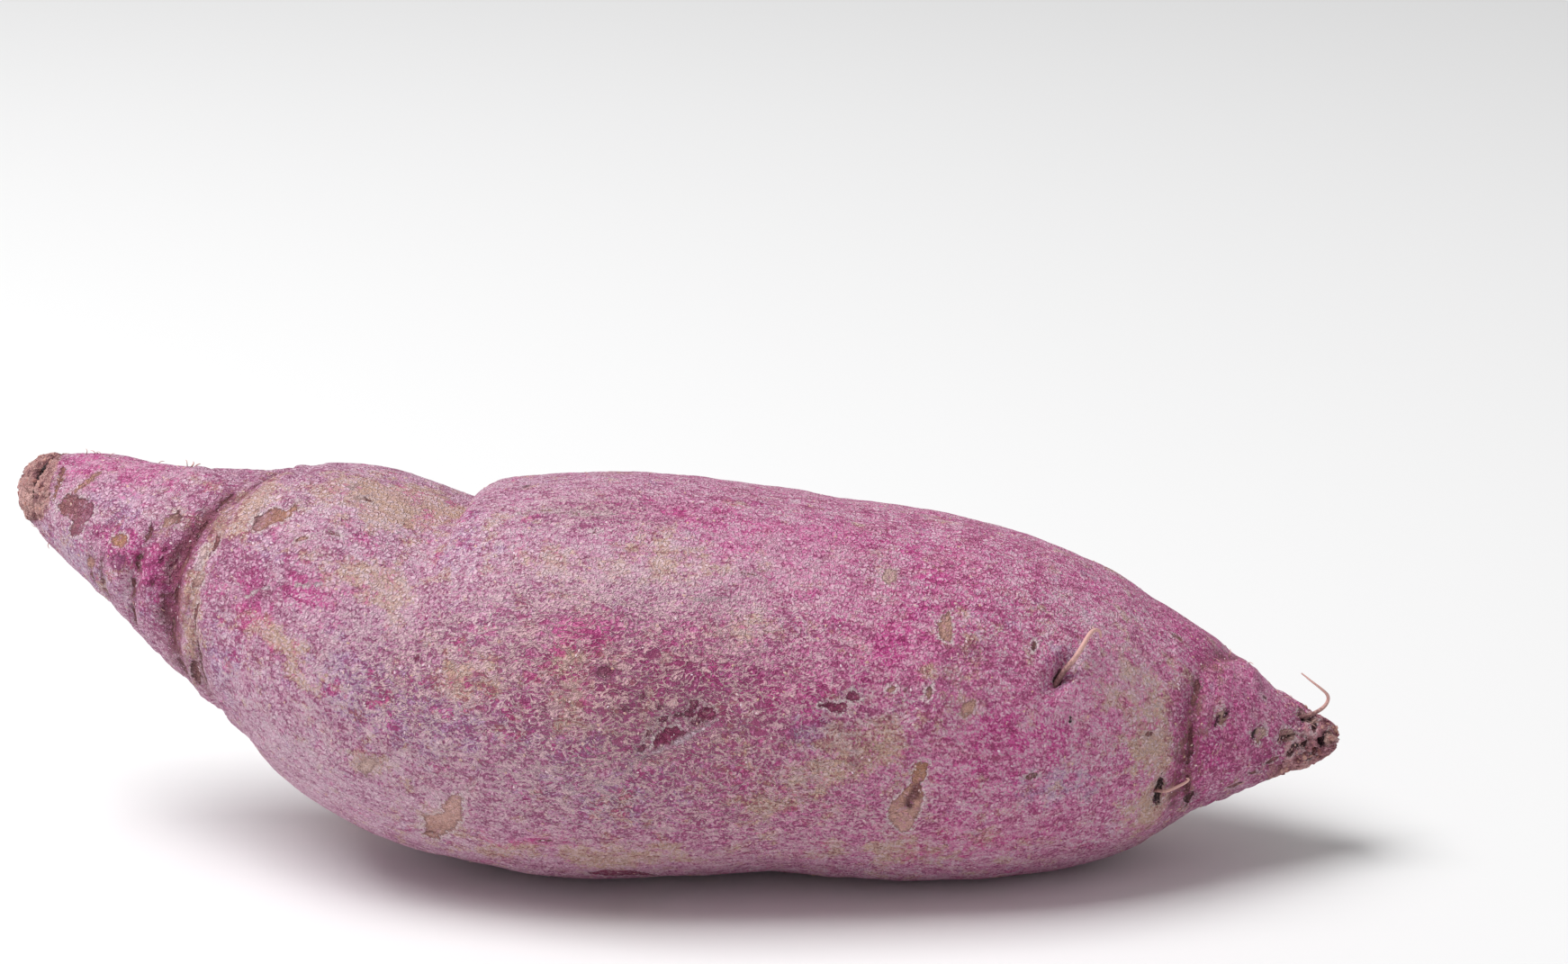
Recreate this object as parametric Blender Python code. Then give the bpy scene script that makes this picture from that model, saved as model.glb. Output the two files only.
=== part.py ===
"""One whole purple sweet potato, lying on its belly. Blender 4.5, metres, +Z up.

The root is one solid. Sections square to a curved middle line are lofted from the crown
scar, on the left, to the tail, on the right, and fine rootlets are joined to it. A place on
the skin is given by how far along the middle line it lies, in millimetres, and how far
round it lies, in degrees: 0 faces the front, 90 the top, 180 the back, -90 the belly.
"""

import math
import random
from typing import NamedTuple

import bmesh
import bpy
import numpy as np
from mathutils import Vector

MM = 0.001


class Station(NamedTuple):
    """A section of the root in millimetres: where its middle is, and its half sizes."""

    along: float
    back: float
    rise: float
    half_tall: float
    half_deep: float


class Groove(NamedTuple):
    """A crease across the skin, as (round, along, depth) points that its line runs through."""

    line: tuple
    crown_side: float
    tail_side: float


class Pit(NamedTuple):
    """A dent, or with a negative depth a knob: its place, half sizes, turn and depth."""

    along: float
    around: float
    half_long: float
    half_wide: float
    turn: float
    deep: float


class Rootlet(NamedTuple):
    """A thin side root, as (along, round, height over the skin) points, and its thickness."""

    route: tuple
    thick: float


# Driving dimensions, in millimetres. The root is 171 long, 59 deep and 51 tall.
STATIONS = (
    Station(-85.5, 21.0, 46.8, 2.8, 3.2),
    Station(-78.5, 17.5, 44.4, 6.8, 7.4),
    Station(-71.5, 13.8, 42.0, 8.9, 9.8),
    Station(-64.0, 10.4, 39.4, 11.3, 12.4),
    Station(-55.0, 6.8, 36.6, 15.0, 16.4),
    Station(-44.5, 3.6, 33.7, 19.4, 22.0),
    Station(-33.0, 1.6, 28.2, 22.5, 25.5),
    Station(-21.4, 0.5, 26.7, 24.8, 28.0),
    Station(-9.0, 0.0, 26.4, 25.6, 29.0),
    Station(5.0, 0.0, 26.0, 24.6, 28.6),
    Station(19.5, 0.0, 25.0, 23.8, 27.6),
    Station(34.7, 0.4, 23.0, 23.1, 26.0),
    Station(48.2, 1.0, 20.9, 20.4, 22.4),
    Station(58.3, 1.4, 20.0, 16.4, 17.6),
    Station(66.0, 1.6, 19.5, 11.8, 12.5),
    Station(74.0, 1.6, 18.2, 7.3, 7.6),
    Station(80.0, 1.6, 17.3, 3.6, 3.8),
    Station(84.5, 1.6, 16.6, 1.7, 1.8),
)
CROWN_CAP = 2.6
TAIL_CAP = 1.8
FLAT_RISE = 1.5
LEAST_REACH = 3.0
LINE_STEP = 0.05
SKIN_STEP, SKIN_TURN = 0.2, 1.0

# How far apart the rings of points stand, in millimetres, at places along the root.
RING_GAPS = (
    (0.0, 0.45), (8.0, 1.0), (46.0, 1.3), (58.0, 2.2), (70.0, 3.3), (130.0, 3.3),
    (136.0, 1.5), (141.0, 1.6), (149.0, 1.8), (154.0, 1.2), (171.0, 1.1), (178.0, 0.4),
)
SIDES = 44
RING_SEARCH = 4000

CROWN_CRACK = Groove(
    ((-60, 9.0, 0.0), (-25, 7.6, 0.5), (0, 5.6, 0.8), (14, 4.8, 0.9), (55, 3.9, 0.8),
     (85, 3.7, 0.6), (125, 4.6, 0.0)),
    0.7, 0.6,
)
NECK_CREASE = Groove(
    ((-60, 26.6, 0.0), (-20, 25.5, 0.7), (8, 25.1, 0.8), (23, 25.5, 0.6), (50, 26.6, 0.3),
     (75, 27.5, 0.0)),
    1.4, 1.2,
)
NECK_RING = Groove(
    ((-180, 33.4, 0.5), (-120, 34.6, 0.7), (-60, 34.4, 0.5), (-27, 33.3, 1.1), (0, 31.8, 1.5),
     (20, 31.0, 1.6), (47, 31.6, 1.2), (85, 32.6, 0.5), (130, 33.2, 0.3), (180, 33.4, 0.5)),
    2.4, 1.3,
)
NECK_LIP_CREASE = Groove(
    ((-65, 38.5, 0.0), (-30, 36.7, 0.7), (-10, 35.8, 0.7), (10, 34.9, 0.5), (35, 34.0, 0.5),
     (60, 34.2, 0.6), (86, 35.0, 0.9), (112, 36.0, 0.4), (135, 37.0, 0.0)),
    0.9, 1.2,
)
NECK_FOLD = Groove(
    ((-10, 45.0, 0.0), (9, 43.4, 0.3), (20, 41.4, 0.4), (32, 38.8, 0.3), (45, 37.5, 0.0)),
    1.4, 1.6,
)
SHOULDER = Groove(
    ((25, 51.6, 0.0), (45, 52.0, 0.3), (57, 52.9, 0.7), (66, 54.6, 0.9), (76, 57.0, 1.2),
     (87, 59.6, 1.35), (105, 61.6, 1.2), (135, 64.0, 0.7), (165, 66.0, 0.0)),
    7.5, 4.8,
)
TAIL_CREASE = Groove(
    ((-70, 157.6, 0.0), (-45, 156.6, 0.6), (-24, 156.1, 1.0), (6, 156.7, 1.0),
     (24, 157.2, 0.9), (54, 158.4, 0.6), (85, 162.0, 1.0), (112, 163.4, 0.4),
     (140, 164.0, 0.0)),
    1.8, 1.2,
)
BACK_CREASE = Groove(
    ((130, 103.0, 0.0), (150, 101.0, 0.5), (175, 100.0, 0.8), (-160, 101.5, 0.5),
     (-140, 103.0, 0.0)),
    4.0, 5.0,
)
GROOVES = (
    CROWN_CRACK, NECK_CREASE, NECK_RING, NECK_LIP_CREASE, NECK_FOLD, SHOULDER,
    TAIL_CREASE, BACK_CREASE,
)

ROOTLET_PITS = (
    Pit(138.0, 32.5, 3.2, 1.5, 58.0, 1.4),
    Pit(152.9, -16.5, 2.3, 1.2, 88.0, 1.2),
    Pit(158.6, -36.0, 1.8, 1.5, 70.0, 1.0),
)
DENTS = (
    Pit(115.4, 0.5, 8.0, 5.0, 0.0, 0.45),
    Pit(121.2, -11.0, 5.0, 1.5, 80.0, 0.5),
    Pit(38.9, 55.5, 2.6, 1.2, 20.0, 0.4),
    Pit(13.6, 20.5, 2.0, 2.2, 0.0, 0.3),
    Pit(66.5, -34.0, 2.6, 2.0, 60.0, 0.3),
    Pit(92.9, 7.0, 5.0, 1.8, 32.0, 0.3),
    Pit(88.0, 172.0, 9.0, 7.0, 15.0, 0.6),
    Pit(128.0, 150.0, 6.0, 4.0, 60.0, 0.5),
)
TAIL_PITS = (
    Pit(160.8, 21.5, 1.3, 1.3, 0.0, 0.6),
    Pit(166.5, 14.0, 1.3, 1.3, 0.0, 0.7),
    Pit(170.4, 17.5, 1.2, 1.0, 0.0, 0.6),
    Pit(172.6, 60.0, 1.1, 1.1, 0.0, 0.6),
)
KNOB_SEED = 5
KNOBS = 16
KNOBS_FROM, KNOBS_TO = 162.5, 176.0
KNOB_SIZES = (0.9, 1.6)
KNOB_HEIGHTS = (0.3, 0.6)
PIT_SHARPNESS = 1.4

LUMP_SEED = 12
LUMPS = 10
LUMP_HEIGHT = 0.8
LUMP_LENGTHS = (22, 60)
LUMP_TURNS = (1, 4)
FRONT_LUMPS = 0.12
BACK_STARTS, BACK_WHOLE = 112.0, 160.0

CURLED_ROOTLET = Rootlet(
    ((136.9, 28.0, -1.8), (138.1, 32.5, 0.2), (139.5, 38.5, 1.3), (141.0, 44.5, 1.8),
     (142.2, 49.0, 2.0), (143.4, 50.6, 1.7), (144.2, 48.4, 1.2)),
    0.8,
)
STRAIGHT_ROOTLET = Rootlet(
    ((152.5, -20.2, -1.8), (153.3, -19.0, 0.2), (154.7, -17.6, 1.0), (156.2, -16.0, 1.4),
     (157.6, -14.6, 1.5)),
    0.7,
)
TAIL_HAIR = Rootlet(
    ((171.9, 62.0, -1.2), (173.4, 66.0, 0.8), (174.5, 72.0, 2.2), (174.4, 78.0, 3.5),
     (172.4, 82.0, 4.2), (169.8, 86.0, 3.9)),
    0.6,
)
ROOTLET_SIDES = 6
ROOTLET_TAPER = 0.85
ROOTLET_SIDEWAYS = (0.3, 1.0, 0.2)
ROOTLET_SEED = 41
HIDDEN_ROOTLETS = 7
HIDDEN_ALONG = (40.0, 160.0)
HIDDEN_ROUND = (138.0, 212.0)
HIDDEN_LENGTHS = (4.0, 8.0)
HIDDEN_BENDS = (-0.5, 0.5)
HIDDEN_THICKS = (0.65, 0.85)
HIDDEN_SHARES = (-0.1, 0.1, 0.4, 0.7, 1.0)
HIDDEN_SUNK = -1.8
HIDDEN_FOOT, HIDDEN_ARCH, HIDDEN_SWEEP = 0.3, 2.0, 1.8

SKIN_COLOUR = (0.43, 0.20, 0.30, 1.0)
SKIN_ROUGHNESS = 0.62


def spline_through(places, values):
    """The natural cubic curve through the values at the places, as a function."""
    gaps = np.diff(places)
    rises = np.diff(values, axis=0) / gaps[:, None]
    count = len(places)
    system = np.zeros((count, count))
    wanted = np.zeros_like(values)
    system[0, 0] = system[-1, -1] = 1.0
    for i in range(1, count - 1):
        system[i, i - 1 : i + 2] = gaps[i - 1], 2 * (gaps[i - 1] + gaps[i]), gaps[i]
        wanted[i] = 6 * (rises[i] - rises[i - 1])
    bends = np.linalg.solve(system, wanted)

    def at(place):
        place = np.atleast_1d(np.asarray(place, float))
        i = np.clip(np.searchsorted(places, place) - 1, 0, count - 2)
        gap = gaps[i][..., None]
        ahead = (places[i + 1] - place)[..., None] / gap
        behind = 1 - ahead
        bent = (ahead**3 - ahead) * bends[i] + (behind**3 - behind) * bends[i + 1]
        return ahead * values[i] + behind * values[i + 1] + bent * gap**2 / 6

    return at


TABLE = np.array(STATIONS)
STEPS = np.linalg.norm(np.diff(TABLE[:, :3], axis=0), axis=1)
PLACES = np.concatenate([[0.0], np.cumsum(STEPS)])
LENGTH = float(PLACES[-1])
SECTION = spline_through(PLACES, TABLE)


def degrees_apart(around, other):
    """How far round one place is from another, from -180 to 180."""
    return (around - other + 180) % 360 - 180


def groove_relief(groove, along, around):
    """How far the skin is pressed in by a crease, in millimetres, as negative numbers."""
    points = np.array(groove.line, float)
    start = points[0, 0]
    rounds = start + np.concatenate([[0], np.cumsum(np.diff(points[:, 0]) % 360)])
    here = start + (around - start) % 360
    line, depth = np.moveaxis(spline_through(rounds, points[:, 1:])(here), -1, 0)
    depth = np.where(here <= rounds[-1], np.maximum(depth, 0), 0)
    gap = along - line
    width = np.where(gap < 0, groove.crown_side, groove.tail_side)
    return -depth * np.exp(-((gap / width) ** 2))


def pit_relief(pit, along, around):
    """How far the skin is pressed in by a pit, in millimetres, as negative numbers."""
    girth = SECTION(pit.along)[0, 3:].mean()
    east = along - pit.along
    north = np.radians(degrees_apart(around, pit.around)) * girth
    cos, sin = math.cos(math.radians(pit.turn)), math.sin(math.radians(pit.turn))
    u = (east * cos + north * sin) / pit.half_long
    v = (north * cos - east * sin) / pit.half_wide
    return -pit.deep * np.exp(-((u * u + v * v) ** PIT_SHARPNESS))


def knobs():
    """The corky knobs of the tail, each a small pit turned outwards."""
    draw = random.Random(KNOB_SEED)
    for _ in range(KNOBS):
        along = draw.uniform(KNOBS_FROM, KNOBS_TO)
        size = draw.uniform(*KNOB_SIZES)
        yield Pit(along, draw.uniform(-180, 180), size, size, 0.0, -draw.uniform(*KNOB_HEIGHTS))


def lump_relief(along, around):
    """The root's slow swells, as waves along and round it, broader at the back."""
    draw = random.Random(LUMP_SEED)
    relief = np.zeros_like(along)
    for _ in range(LUMPS):
        length = draw.uniform(*LUMP_LENGTHS)
        turns = draw.randint(*LUMP_TURNS)
        phase, twist = draw.uniform(0, 2 * math.pi), draw.uniform(0, 2 * math.pi)
        wave = np.sin(2 * math.pi * along / length + phase)
        height = LUMP_HEIGHT * length / LUMP_LENGTHS[1]
        relief += height * wave * np.sin(np.radians(turns * around) + twist)
    turned = np.abs(degrees_apart(around, 0.0))
    back = np.clip((turned - BACK_STARTS) / (BACK_WHOLE - BACK_STARTS), 0, 1)
    return relief * (FRONT_LUMPS + (1 - FRONT_LUMPS) * back * back * (3 - 2 * back))


def relief_at(along, around):
    """The whole relief over the plain loft, in millimetres."""
    relief = lump_relief(along, around)
    for groove in GROOVES:
        relief += groove_relief(groove, along, around)
    for pit in (*ROOTLET_PITS, *DENTS, *TAIL_PITS, *knobs()):
        relief += pit_relief(pit, along, around)
    return relief


def rounded_end(distance, cap):
    """From 0 at the very end to 1 past the cap, along a quarter of an ellipse."""
    share = np.clip(distance / cap, 0.0, 1.0)
    return np.sqrt(1 - (1 - share) ** 2)


def skin_at(along, around):
    """Points of the skin in millimetres, before the root is set down on its belly."""
    here = SECTION(along)
    line = SECTION(along + LINE_STEP)[..., :3] - SECTION(along - LINE_STEP)[..., :3]
    line /= np.linalg.norm(line, axis=-1, keepdims=True)
    back = np.cross([0.0, 0.0, 1.0], line)
    back /= np.linalg.norm(back, axis=-1, keepdims=True)
    up = np.cross(line, back)
    angle = np.radians(around)
    cap = rounded_end(along, CROWN_CAP) * rounded_end(LENGTH - along, TAIL_CAP)
    outward = up * (here[..., 3] * np.sin(angle))[..., None]
    outward -= back * (here[..., 4] * np.cos(angle))[..., None]
    reach = np.linalg.norm(outward, axis=-1)
    share = cap * (1 + relief_at(along, around) / np.maximum(reach, LEAST_REACH))
    return here[..., :3] + outward * share[..., None]


def skin_normal(along, around):
    """The way out of the skin at a place, as a unit vector."""
    ahead = skin_at(along + SKIN_STEP, around) - skin_at(along - SKIN_STEP, around)
    sideways = skin_at(along, around + SKIN_TURN) - skin_at(along, around - SKIN_TURN)
    normal = np.cross(ahead, sideways)
    return normal / np.linalg.norm(normal, axis=-1, keepdims=True)


def ring_places():
    """Where the rings stand: closer together where the relief is fine."""
    fine = np.linspace(0, LENGTH, RING_SEARCH)
    spots, gaps = np.array(RING_GAPS).T
    count = np.concatenate([[0], np.cumsum(np.diff(fine) / np.interp(fine[1:], spots, gaps))])
    return np.interp(np.linspace(0, count[-1], round(count[-1])), count, fine)


def skin_mesh():
    """The skin as a closed mesh, with a fan of triangles at each end."""
    places = ring_places()
    around = np.arange(SIDES) * 360 / SIDES
    along, around = np.meshgrid(places[1:-1], around, indexing="ij")
    points = skin_at(along, around)
    points[..., 2] = np.maximum(points[..., 2], FLAT_RISE)
    ends = skin_at(np.array([0.0, LENGTH]), np.zeros(2))
    mesh = bmesh.new()
    rings = [[mesh.verts.new(point * MM) for point in ring] for ring in points]
    crown, tail = (mesh.verts.new(point * MM) for point in ends)
    for ring, following in zip(rings, rings[1:]):
        for k in range(SIDES):
            n = (k + 1) % SIDES
            mesh.faces.new((ring[k], following[k], following[n], ring[n]))
    for k in range(SIDES):
        n = (k + 1) % SIDES
        mesh.faces.new((crown, rings[0][k], rings[0][n]))
        mesh.faces.new((tail, rings[-1][n], rings[-1][k]))
    bmesh.ops.recalc_face_normals(mesh, faces=mesh.faces)
    return mesh


def hidden_rootlets():
    """Rootlets of the back and top, which lean over the skin in drawn directions."""
    draw = random.Random(ROOTLET_SEED)
    for i in range(HIDDEN_ROOTLETS):
        share = (i + draw.uniform(0.2, 0.8)) / HIDDEN_ROOTLETS
        along = HIDDEN_ALONG[0] + share * (HIDDEN_ALONG[1] - HIDDEN_ALONG[0])
        around = draw.uniform(*HIDDEN_ROUND)
        length = draw.uniform(*HIDDEN_LENGTHS)
        heading = draw.uniform(0, 2 * math.pi)
        bend = draw.uniform(*HIDDEN_BENDS)
        girth = SECTION(along)[0, 3:].mean()
        route = []
        for share in HIDDEN_SHARES:
            way = heading + bend * share
            reach = length * share
            turned = around + math.degrees(reach * math.sin(way) / girth)
            over = HIDDEN_FOOT + HIDDEN_ARCH * math.sin(share * HIDDEN_SWEEP)
            height = HIDDEN_SUNK if share < 0 else over
            route.append((along + reach * math.cos(way), turned, height))
        yield Rootlet(tuple(route), draw.uniform(*HIDDEN_THICKS))


def rootlet_object(rootlet, collection):
    """A tapered tube over the skin, closed at both ends, with its root sunk in."""
    route = np.array(rootlet.route)
    over = skin_at(route[:, 0], route[:, 1])
    over += skin_normal(route[:, 0], route[:, 1]) * route[:, 2:]
    steps = np.arange(len(route), dtype=float)
    curve = spline_through(steps, over)
    spots = np.linspace(0, steps[-1], 2 * len(route) - 1)
    middles = curve(spots)
    ways = curve(spots + LINE_STEP) - curve(spots - LINE_STEP)
    side = Vector(ROOTLET_SIDEWAYS)
    mesh = bmesh.new()
    rings = []
    for i, (middle, way) in enumerate(zip(middles, ways)):
        way = Vector(way).normalized()
        side = (side - way * side.dot(way)).normalized()
        other = way.cross(side)
        radius = rootlet.thick / 2 * (1 - (1 - ROOTLET_TAPER) * i / (len(spots) - 1))
        ring = []
        for k in range(ROOTLET_SIDES):
            turn = 2 * math.pi * k / ROOTLET_SIDES
            offset = radius * (math.cos(turn) * side + math.sin(turn) * other)
            ring.append(mesh.verts.new((Vector(middle) + offset) * MM))
        rings.append(ring)
    for ring, following in zip(rings, rings[1:]):
        for k in range(ROOTLET_SIDES):
            n = (k + 1) % ROOTLET_SIDES
            mesh.faces.new((ring[k], ring[n], following[n], following[k]))
    mesh.faces.new(rings[0][::-1])
    mesh.faces.new(rings[-1])
    bmesh.ops.recalc_face_normals(mesh, faces=mesh.faces)
    data = bpy.data.meshes.new("rootlet")
    mesh.to_mesh(data)
    mesh.free()
    obj = bpy.data.objects.new("rootlet", data)
    collection.objects.link(obj)
    return obj


def join_rootlets(tuber):
    """Joins the rootlets to the root with one Boolean, applied."""
    collection = bpy.data.collections.new("rootlets")
    bpy.context.scene.collection.children.link(collection)
    pieces = [CURLED_ROOTLET, STRAIGHT_ROOTLET, TAIL_HAIR, *hidden_rootlets()]
    made = [rootlet_object(piece, collection) for piece in pieces]
    union = tuber.modifiers.new("rootlets", "BOOLEAN")
    union.operation = "UNION"
    union.solver = "EXACT"
    union.operand_type = "COLLECTION"
    union.collection = collection
    graph = bpy.context.evaluated_depsgraph_get()
    joined = bpy.data.meshes.new_from_object(tuber.evaluated_get(graph))
    tuber.modifiers.clear()
    tuber.data = joined
    for obj in made:
        bpy.data.objects.remove(obj)
    bpy.data.collections.remove(collection)


def centre_on_base(mesh):
    """Moves the mesh so that its origin is the bottom centre of its box."""
    points = np.array([vertex.co for vertex in mesh.vertices])
    low, high = points.min(axis=0), points.max(axis=0)
    points -= ((low[0] + high[0]) / 2, (low[1] + high[1]) / 2, low[2])
    mesh.vertices.foreach_set("co", points.ravel())
    mesh.update()


def skin_material():
    """A matte purple skin."""
    material = bpy.data.materials.new("purple_skin")
    material.use_nodes = True
    shader = material.node_tree.nodes["Principled BSDF"]
    shader.inputs["Base Color"].default_value = SKIN_COLOUR
    shader.inputs["Roughness"].default_value = SKIN_ROUGHNESS
    shader.inputs["Metallic"].default_value = 0.0
    return material


def build():
    """Makes the root as one object."""
    for obj in list(bpy.data.objects):
        bpy.data.objects.remove(obj)
    mesh = skin_mesh()
    data = bpy.data.meshes.new("tuber")
    mesh.to_mesh(data)
    mesh.free()
    tuber = bpy.data.objects.new("tuber", data)
    bpy.context.scene.collection.objects.link(tuber)
    join_rootlets(tuber)
    centre_on_base(tuber.data)
    tuber.data.materials.append(skin_material())
    tuber.data.shade_smooth()
    return tuber


build()
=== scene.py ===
"""The looks of one whole purple sweet potato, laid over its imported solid.

The solid gives the root's form. This script lays a finer skin over the same form, with its
wrinkles, scars and peeled spots, and adds the thin rootlets, the loose chips of skin and the
fibres of both ends. A place on the skin is given as in the solid's own source: millimetres
along the root's middle line, then degrees round it, where 0 faces the front, 90 the top,
180 the back and -90 the belly.
"""

import logging
import math
import random
from collections.abc import Callable, Iterator, Mapping, Sequence
from dataclasses import dataclass, field
from enum import Enum
from itertools import starmap
from typing import Any, NamedTuple

import bpy
import numpy as np
from bpy.types import Material, Mesh, Node, NodeSocket, NodeTree, Object
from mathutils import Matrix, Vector


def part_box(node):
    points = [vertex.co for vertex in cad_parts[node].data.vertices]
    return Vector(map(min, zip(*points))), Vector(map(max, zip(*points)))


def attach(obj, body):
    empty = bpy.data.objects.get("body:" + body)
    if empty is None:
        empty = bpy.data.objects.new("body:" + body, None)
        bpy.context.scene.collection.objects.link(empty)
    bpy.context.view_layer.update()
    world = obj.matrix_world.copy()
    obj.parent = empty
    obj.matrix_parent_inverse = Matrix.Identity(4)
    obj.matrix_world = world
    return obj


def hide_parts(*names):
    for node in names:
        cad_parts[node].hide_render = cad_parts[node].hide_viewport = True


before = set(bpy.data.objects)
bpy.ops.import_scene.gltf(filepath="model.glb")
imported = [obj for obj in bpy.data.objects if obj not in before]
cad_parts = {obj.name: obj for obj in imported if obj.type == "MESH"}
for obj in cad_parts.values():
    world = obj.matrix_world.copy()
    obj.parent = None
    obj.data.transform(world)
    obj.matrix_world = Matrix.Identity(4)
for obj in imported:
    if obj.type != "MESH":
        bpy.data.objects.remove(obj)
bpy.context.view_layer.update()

Array = np.ndarray
Pair = tuple[Array, Array]

MM = 0.001
NODE = "tuber"
BODY = "root"

log = logging.getLogger("sweet_potato")


class Tone(Enum):
    """Colours of the skin and its scars, as display red, green and blue from 0 to 255."""

    ROSE = (208, 150, 180)
    DEEP_ROSE = (218, 120, 170)
    LAVENDER = (198, 158, 194)
    TAN = (208, 170, 150)
    MAGENTA = (214, 66, 152)
    # Pale tan of the wrinkled skin's light specks: partly its own colour, partly a painted
    # highlight on the crests.
    CREST_TAN_AND_HIGHLIGHT = (230, 192, 178)
    LIP = (244, 224, 226)
    FLESH = (152, 84, 112)
    PLUM = (156, 78, 122)
    WINE = (128, 34, 82)
    PALE = (234, 206, 220)
    # Red-brown of the creases' depths, and of the strokes in them: partly their own colour, partly
    # painted shade.
    CREASE = (116, 58, 68)
    CREASE_RED = (146, 62, 98)
    BARK = (158, 102, 102)
    ASH = (160, 114, 122)
    UMBER = (108, 66, 70)
    ORANGE = (190, 134, 108)
    OLIVE = (204, 156, 142)
    CORK = (198, 150, 138)
    SAND = (222, 174, 166)
    RAW = (146, 58, 96)
    # Near-black painted shadow, put into the pits, the slits and the crown's crack.
    SHADOW_BLACK = (58, 38, 42)
    BEIGE = (214, 178, 170)

    @property
    def light(self) -> tuple[float, float, float, float]:
        """The colour as linear light, with full alpha."""
        shares = [channel / 255 for channel in self.value]
        return (*[((share + 0.055) / 1.055) ** 2.4 for share in shares], 1.0)


class Station(NamedTuple):
    """A section of the root in millimetres: where its middle is, and its half sizes."""

    along: float
    back: float
    rise: float
    half_tall: float
    half_deep: float


class Groove(NamedTuple):
    """A crease across the skin, as (round, along, depth) points that its line runs through."""

    line: tuple
    crown_side: float
    tail_side: float


class Pit(NamedTuple):
    """A dent, or with a negative depth a knob: its place, half sizes, turn and depth."""

    along: float
    around: float
    half_long: float
    half_wide: float
    turn: float
    deep: float


class Spot(NamedTuple):
    """A small round or oval scar: its place, half sizes and turn, rim, depth and colours."""

    along: float
    around: float
    half_long: float
    half_wide: float
    turn: float
    rim: float
    deep: float
    near: Tone
    far: Tone | None = None


class Patch(NamedTuple):
    """A scar with a drawn outline of (along, round) points.

    Its colour runs from near to far, if there is another, in the lean's direction, in degrees
    from the root's length; rim is how pale its edge is, and deep how far it lies under the skin.
    """

    outline: tuple
    lean: float
    rim: float
    deep: float
    near: Tone
    far: Tone | None = None


class Stroke(NamedTuple):
    """A thin line on the skin through (along, round) points, tapered at both ends."""

    path: tuple
    half_wide: float
    rim: float
    deep: float
    near: Tone
    far: Tone | None = None


class Cloud(NamedTuple):
    """A soft patch of one tint: its place, half sizes in millimetres, strength and turn."""

    along: float
    around: float
    half_long: float
    half_wide: float
    strength: float
    turn: float = 0.0


class Rootlet(NamedTuple):
    """A thin side root, as (along, round, height over the skin) points, and its thickness."""

    route: tuple
    thick: float


def spline_through(places: Array, values: Array) -> Callable[[Any], Array]:
    """Fits the natural cubic curve through values.

    Args:
        places: where the values stand, growing.
        values: one row for each place.

    Returns:
        A function from places to points of the curve.
    """
    gaps = np.diff(places)
    rises = np.diff(values, axis=0) / gaps[:, None]
    count = len(places)
    system = np.zeros((count, count))
    wanted = np.zeros_like(values)
    system[0, 0] = system[-1, -1] = 1.0
    for i in range(1, count - 1):
        system[i, i - 1 : i + 2] = gaps[i - 1], 2 * (gaps[i - 1] + gaps[i]), gaps[i]
        wanted[i] = 6 * (rises[i] - rises[i - 1])
    bends = np.linalg.solve(system, wanted)

    def at(place: Any) -> Array:
        """Finds the curve's points.

        Args:
            place: one place or many.

        Returns:
            One row for each place.
        """
        place = np.atleast_1d(np.asarray(place, float))
        i = np.clip(np.searchsorted(places, place) - 1, 0, count - 2)
        gap = gaps[i][..., None]
        ahead = (places[i + 1] - place)[..., None] / gap
        behind = 1 - ahead
        bent = (ahead**3 - ahead) * bends[i] + (behind**3 - behind) * bends[i + 1]
        return ahead * values[i] + behind * values[i + 1] + bent * gap**2 / 6

    return at


def from_side(points: Array, start: Array, end: Array) -> Pair:
    """How far points lie from a straight side.

    Args:
        points: the points, two numbers each.
        start: where the side starts.
        end: where it ends.

    Returns:
        Their distances from it, and how far along it the nearest place is, from 0 to 1.
    """
    side = end - start
    share = np.clip(((points - start) @ side) / (side @ side), 0, 1)
    off = points - start - share[..., None] * side
    return np.hypot(off[..., 0], off[..., 1]), share


def degrees_apart(around: Array, other: float) -> Array:
    """How far round one place is from another, from -180 to 180."""
    return (around - other + 180) % 360 - 180


def smooth(value: Array, low: float, high: float) -> Array:
    """From 0 at low to 1 at high, with soft ends."""
    share = np.clip((value - low) / (high - low), 0, 1)
    return share * share * (3 - 2 * share)


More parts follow.
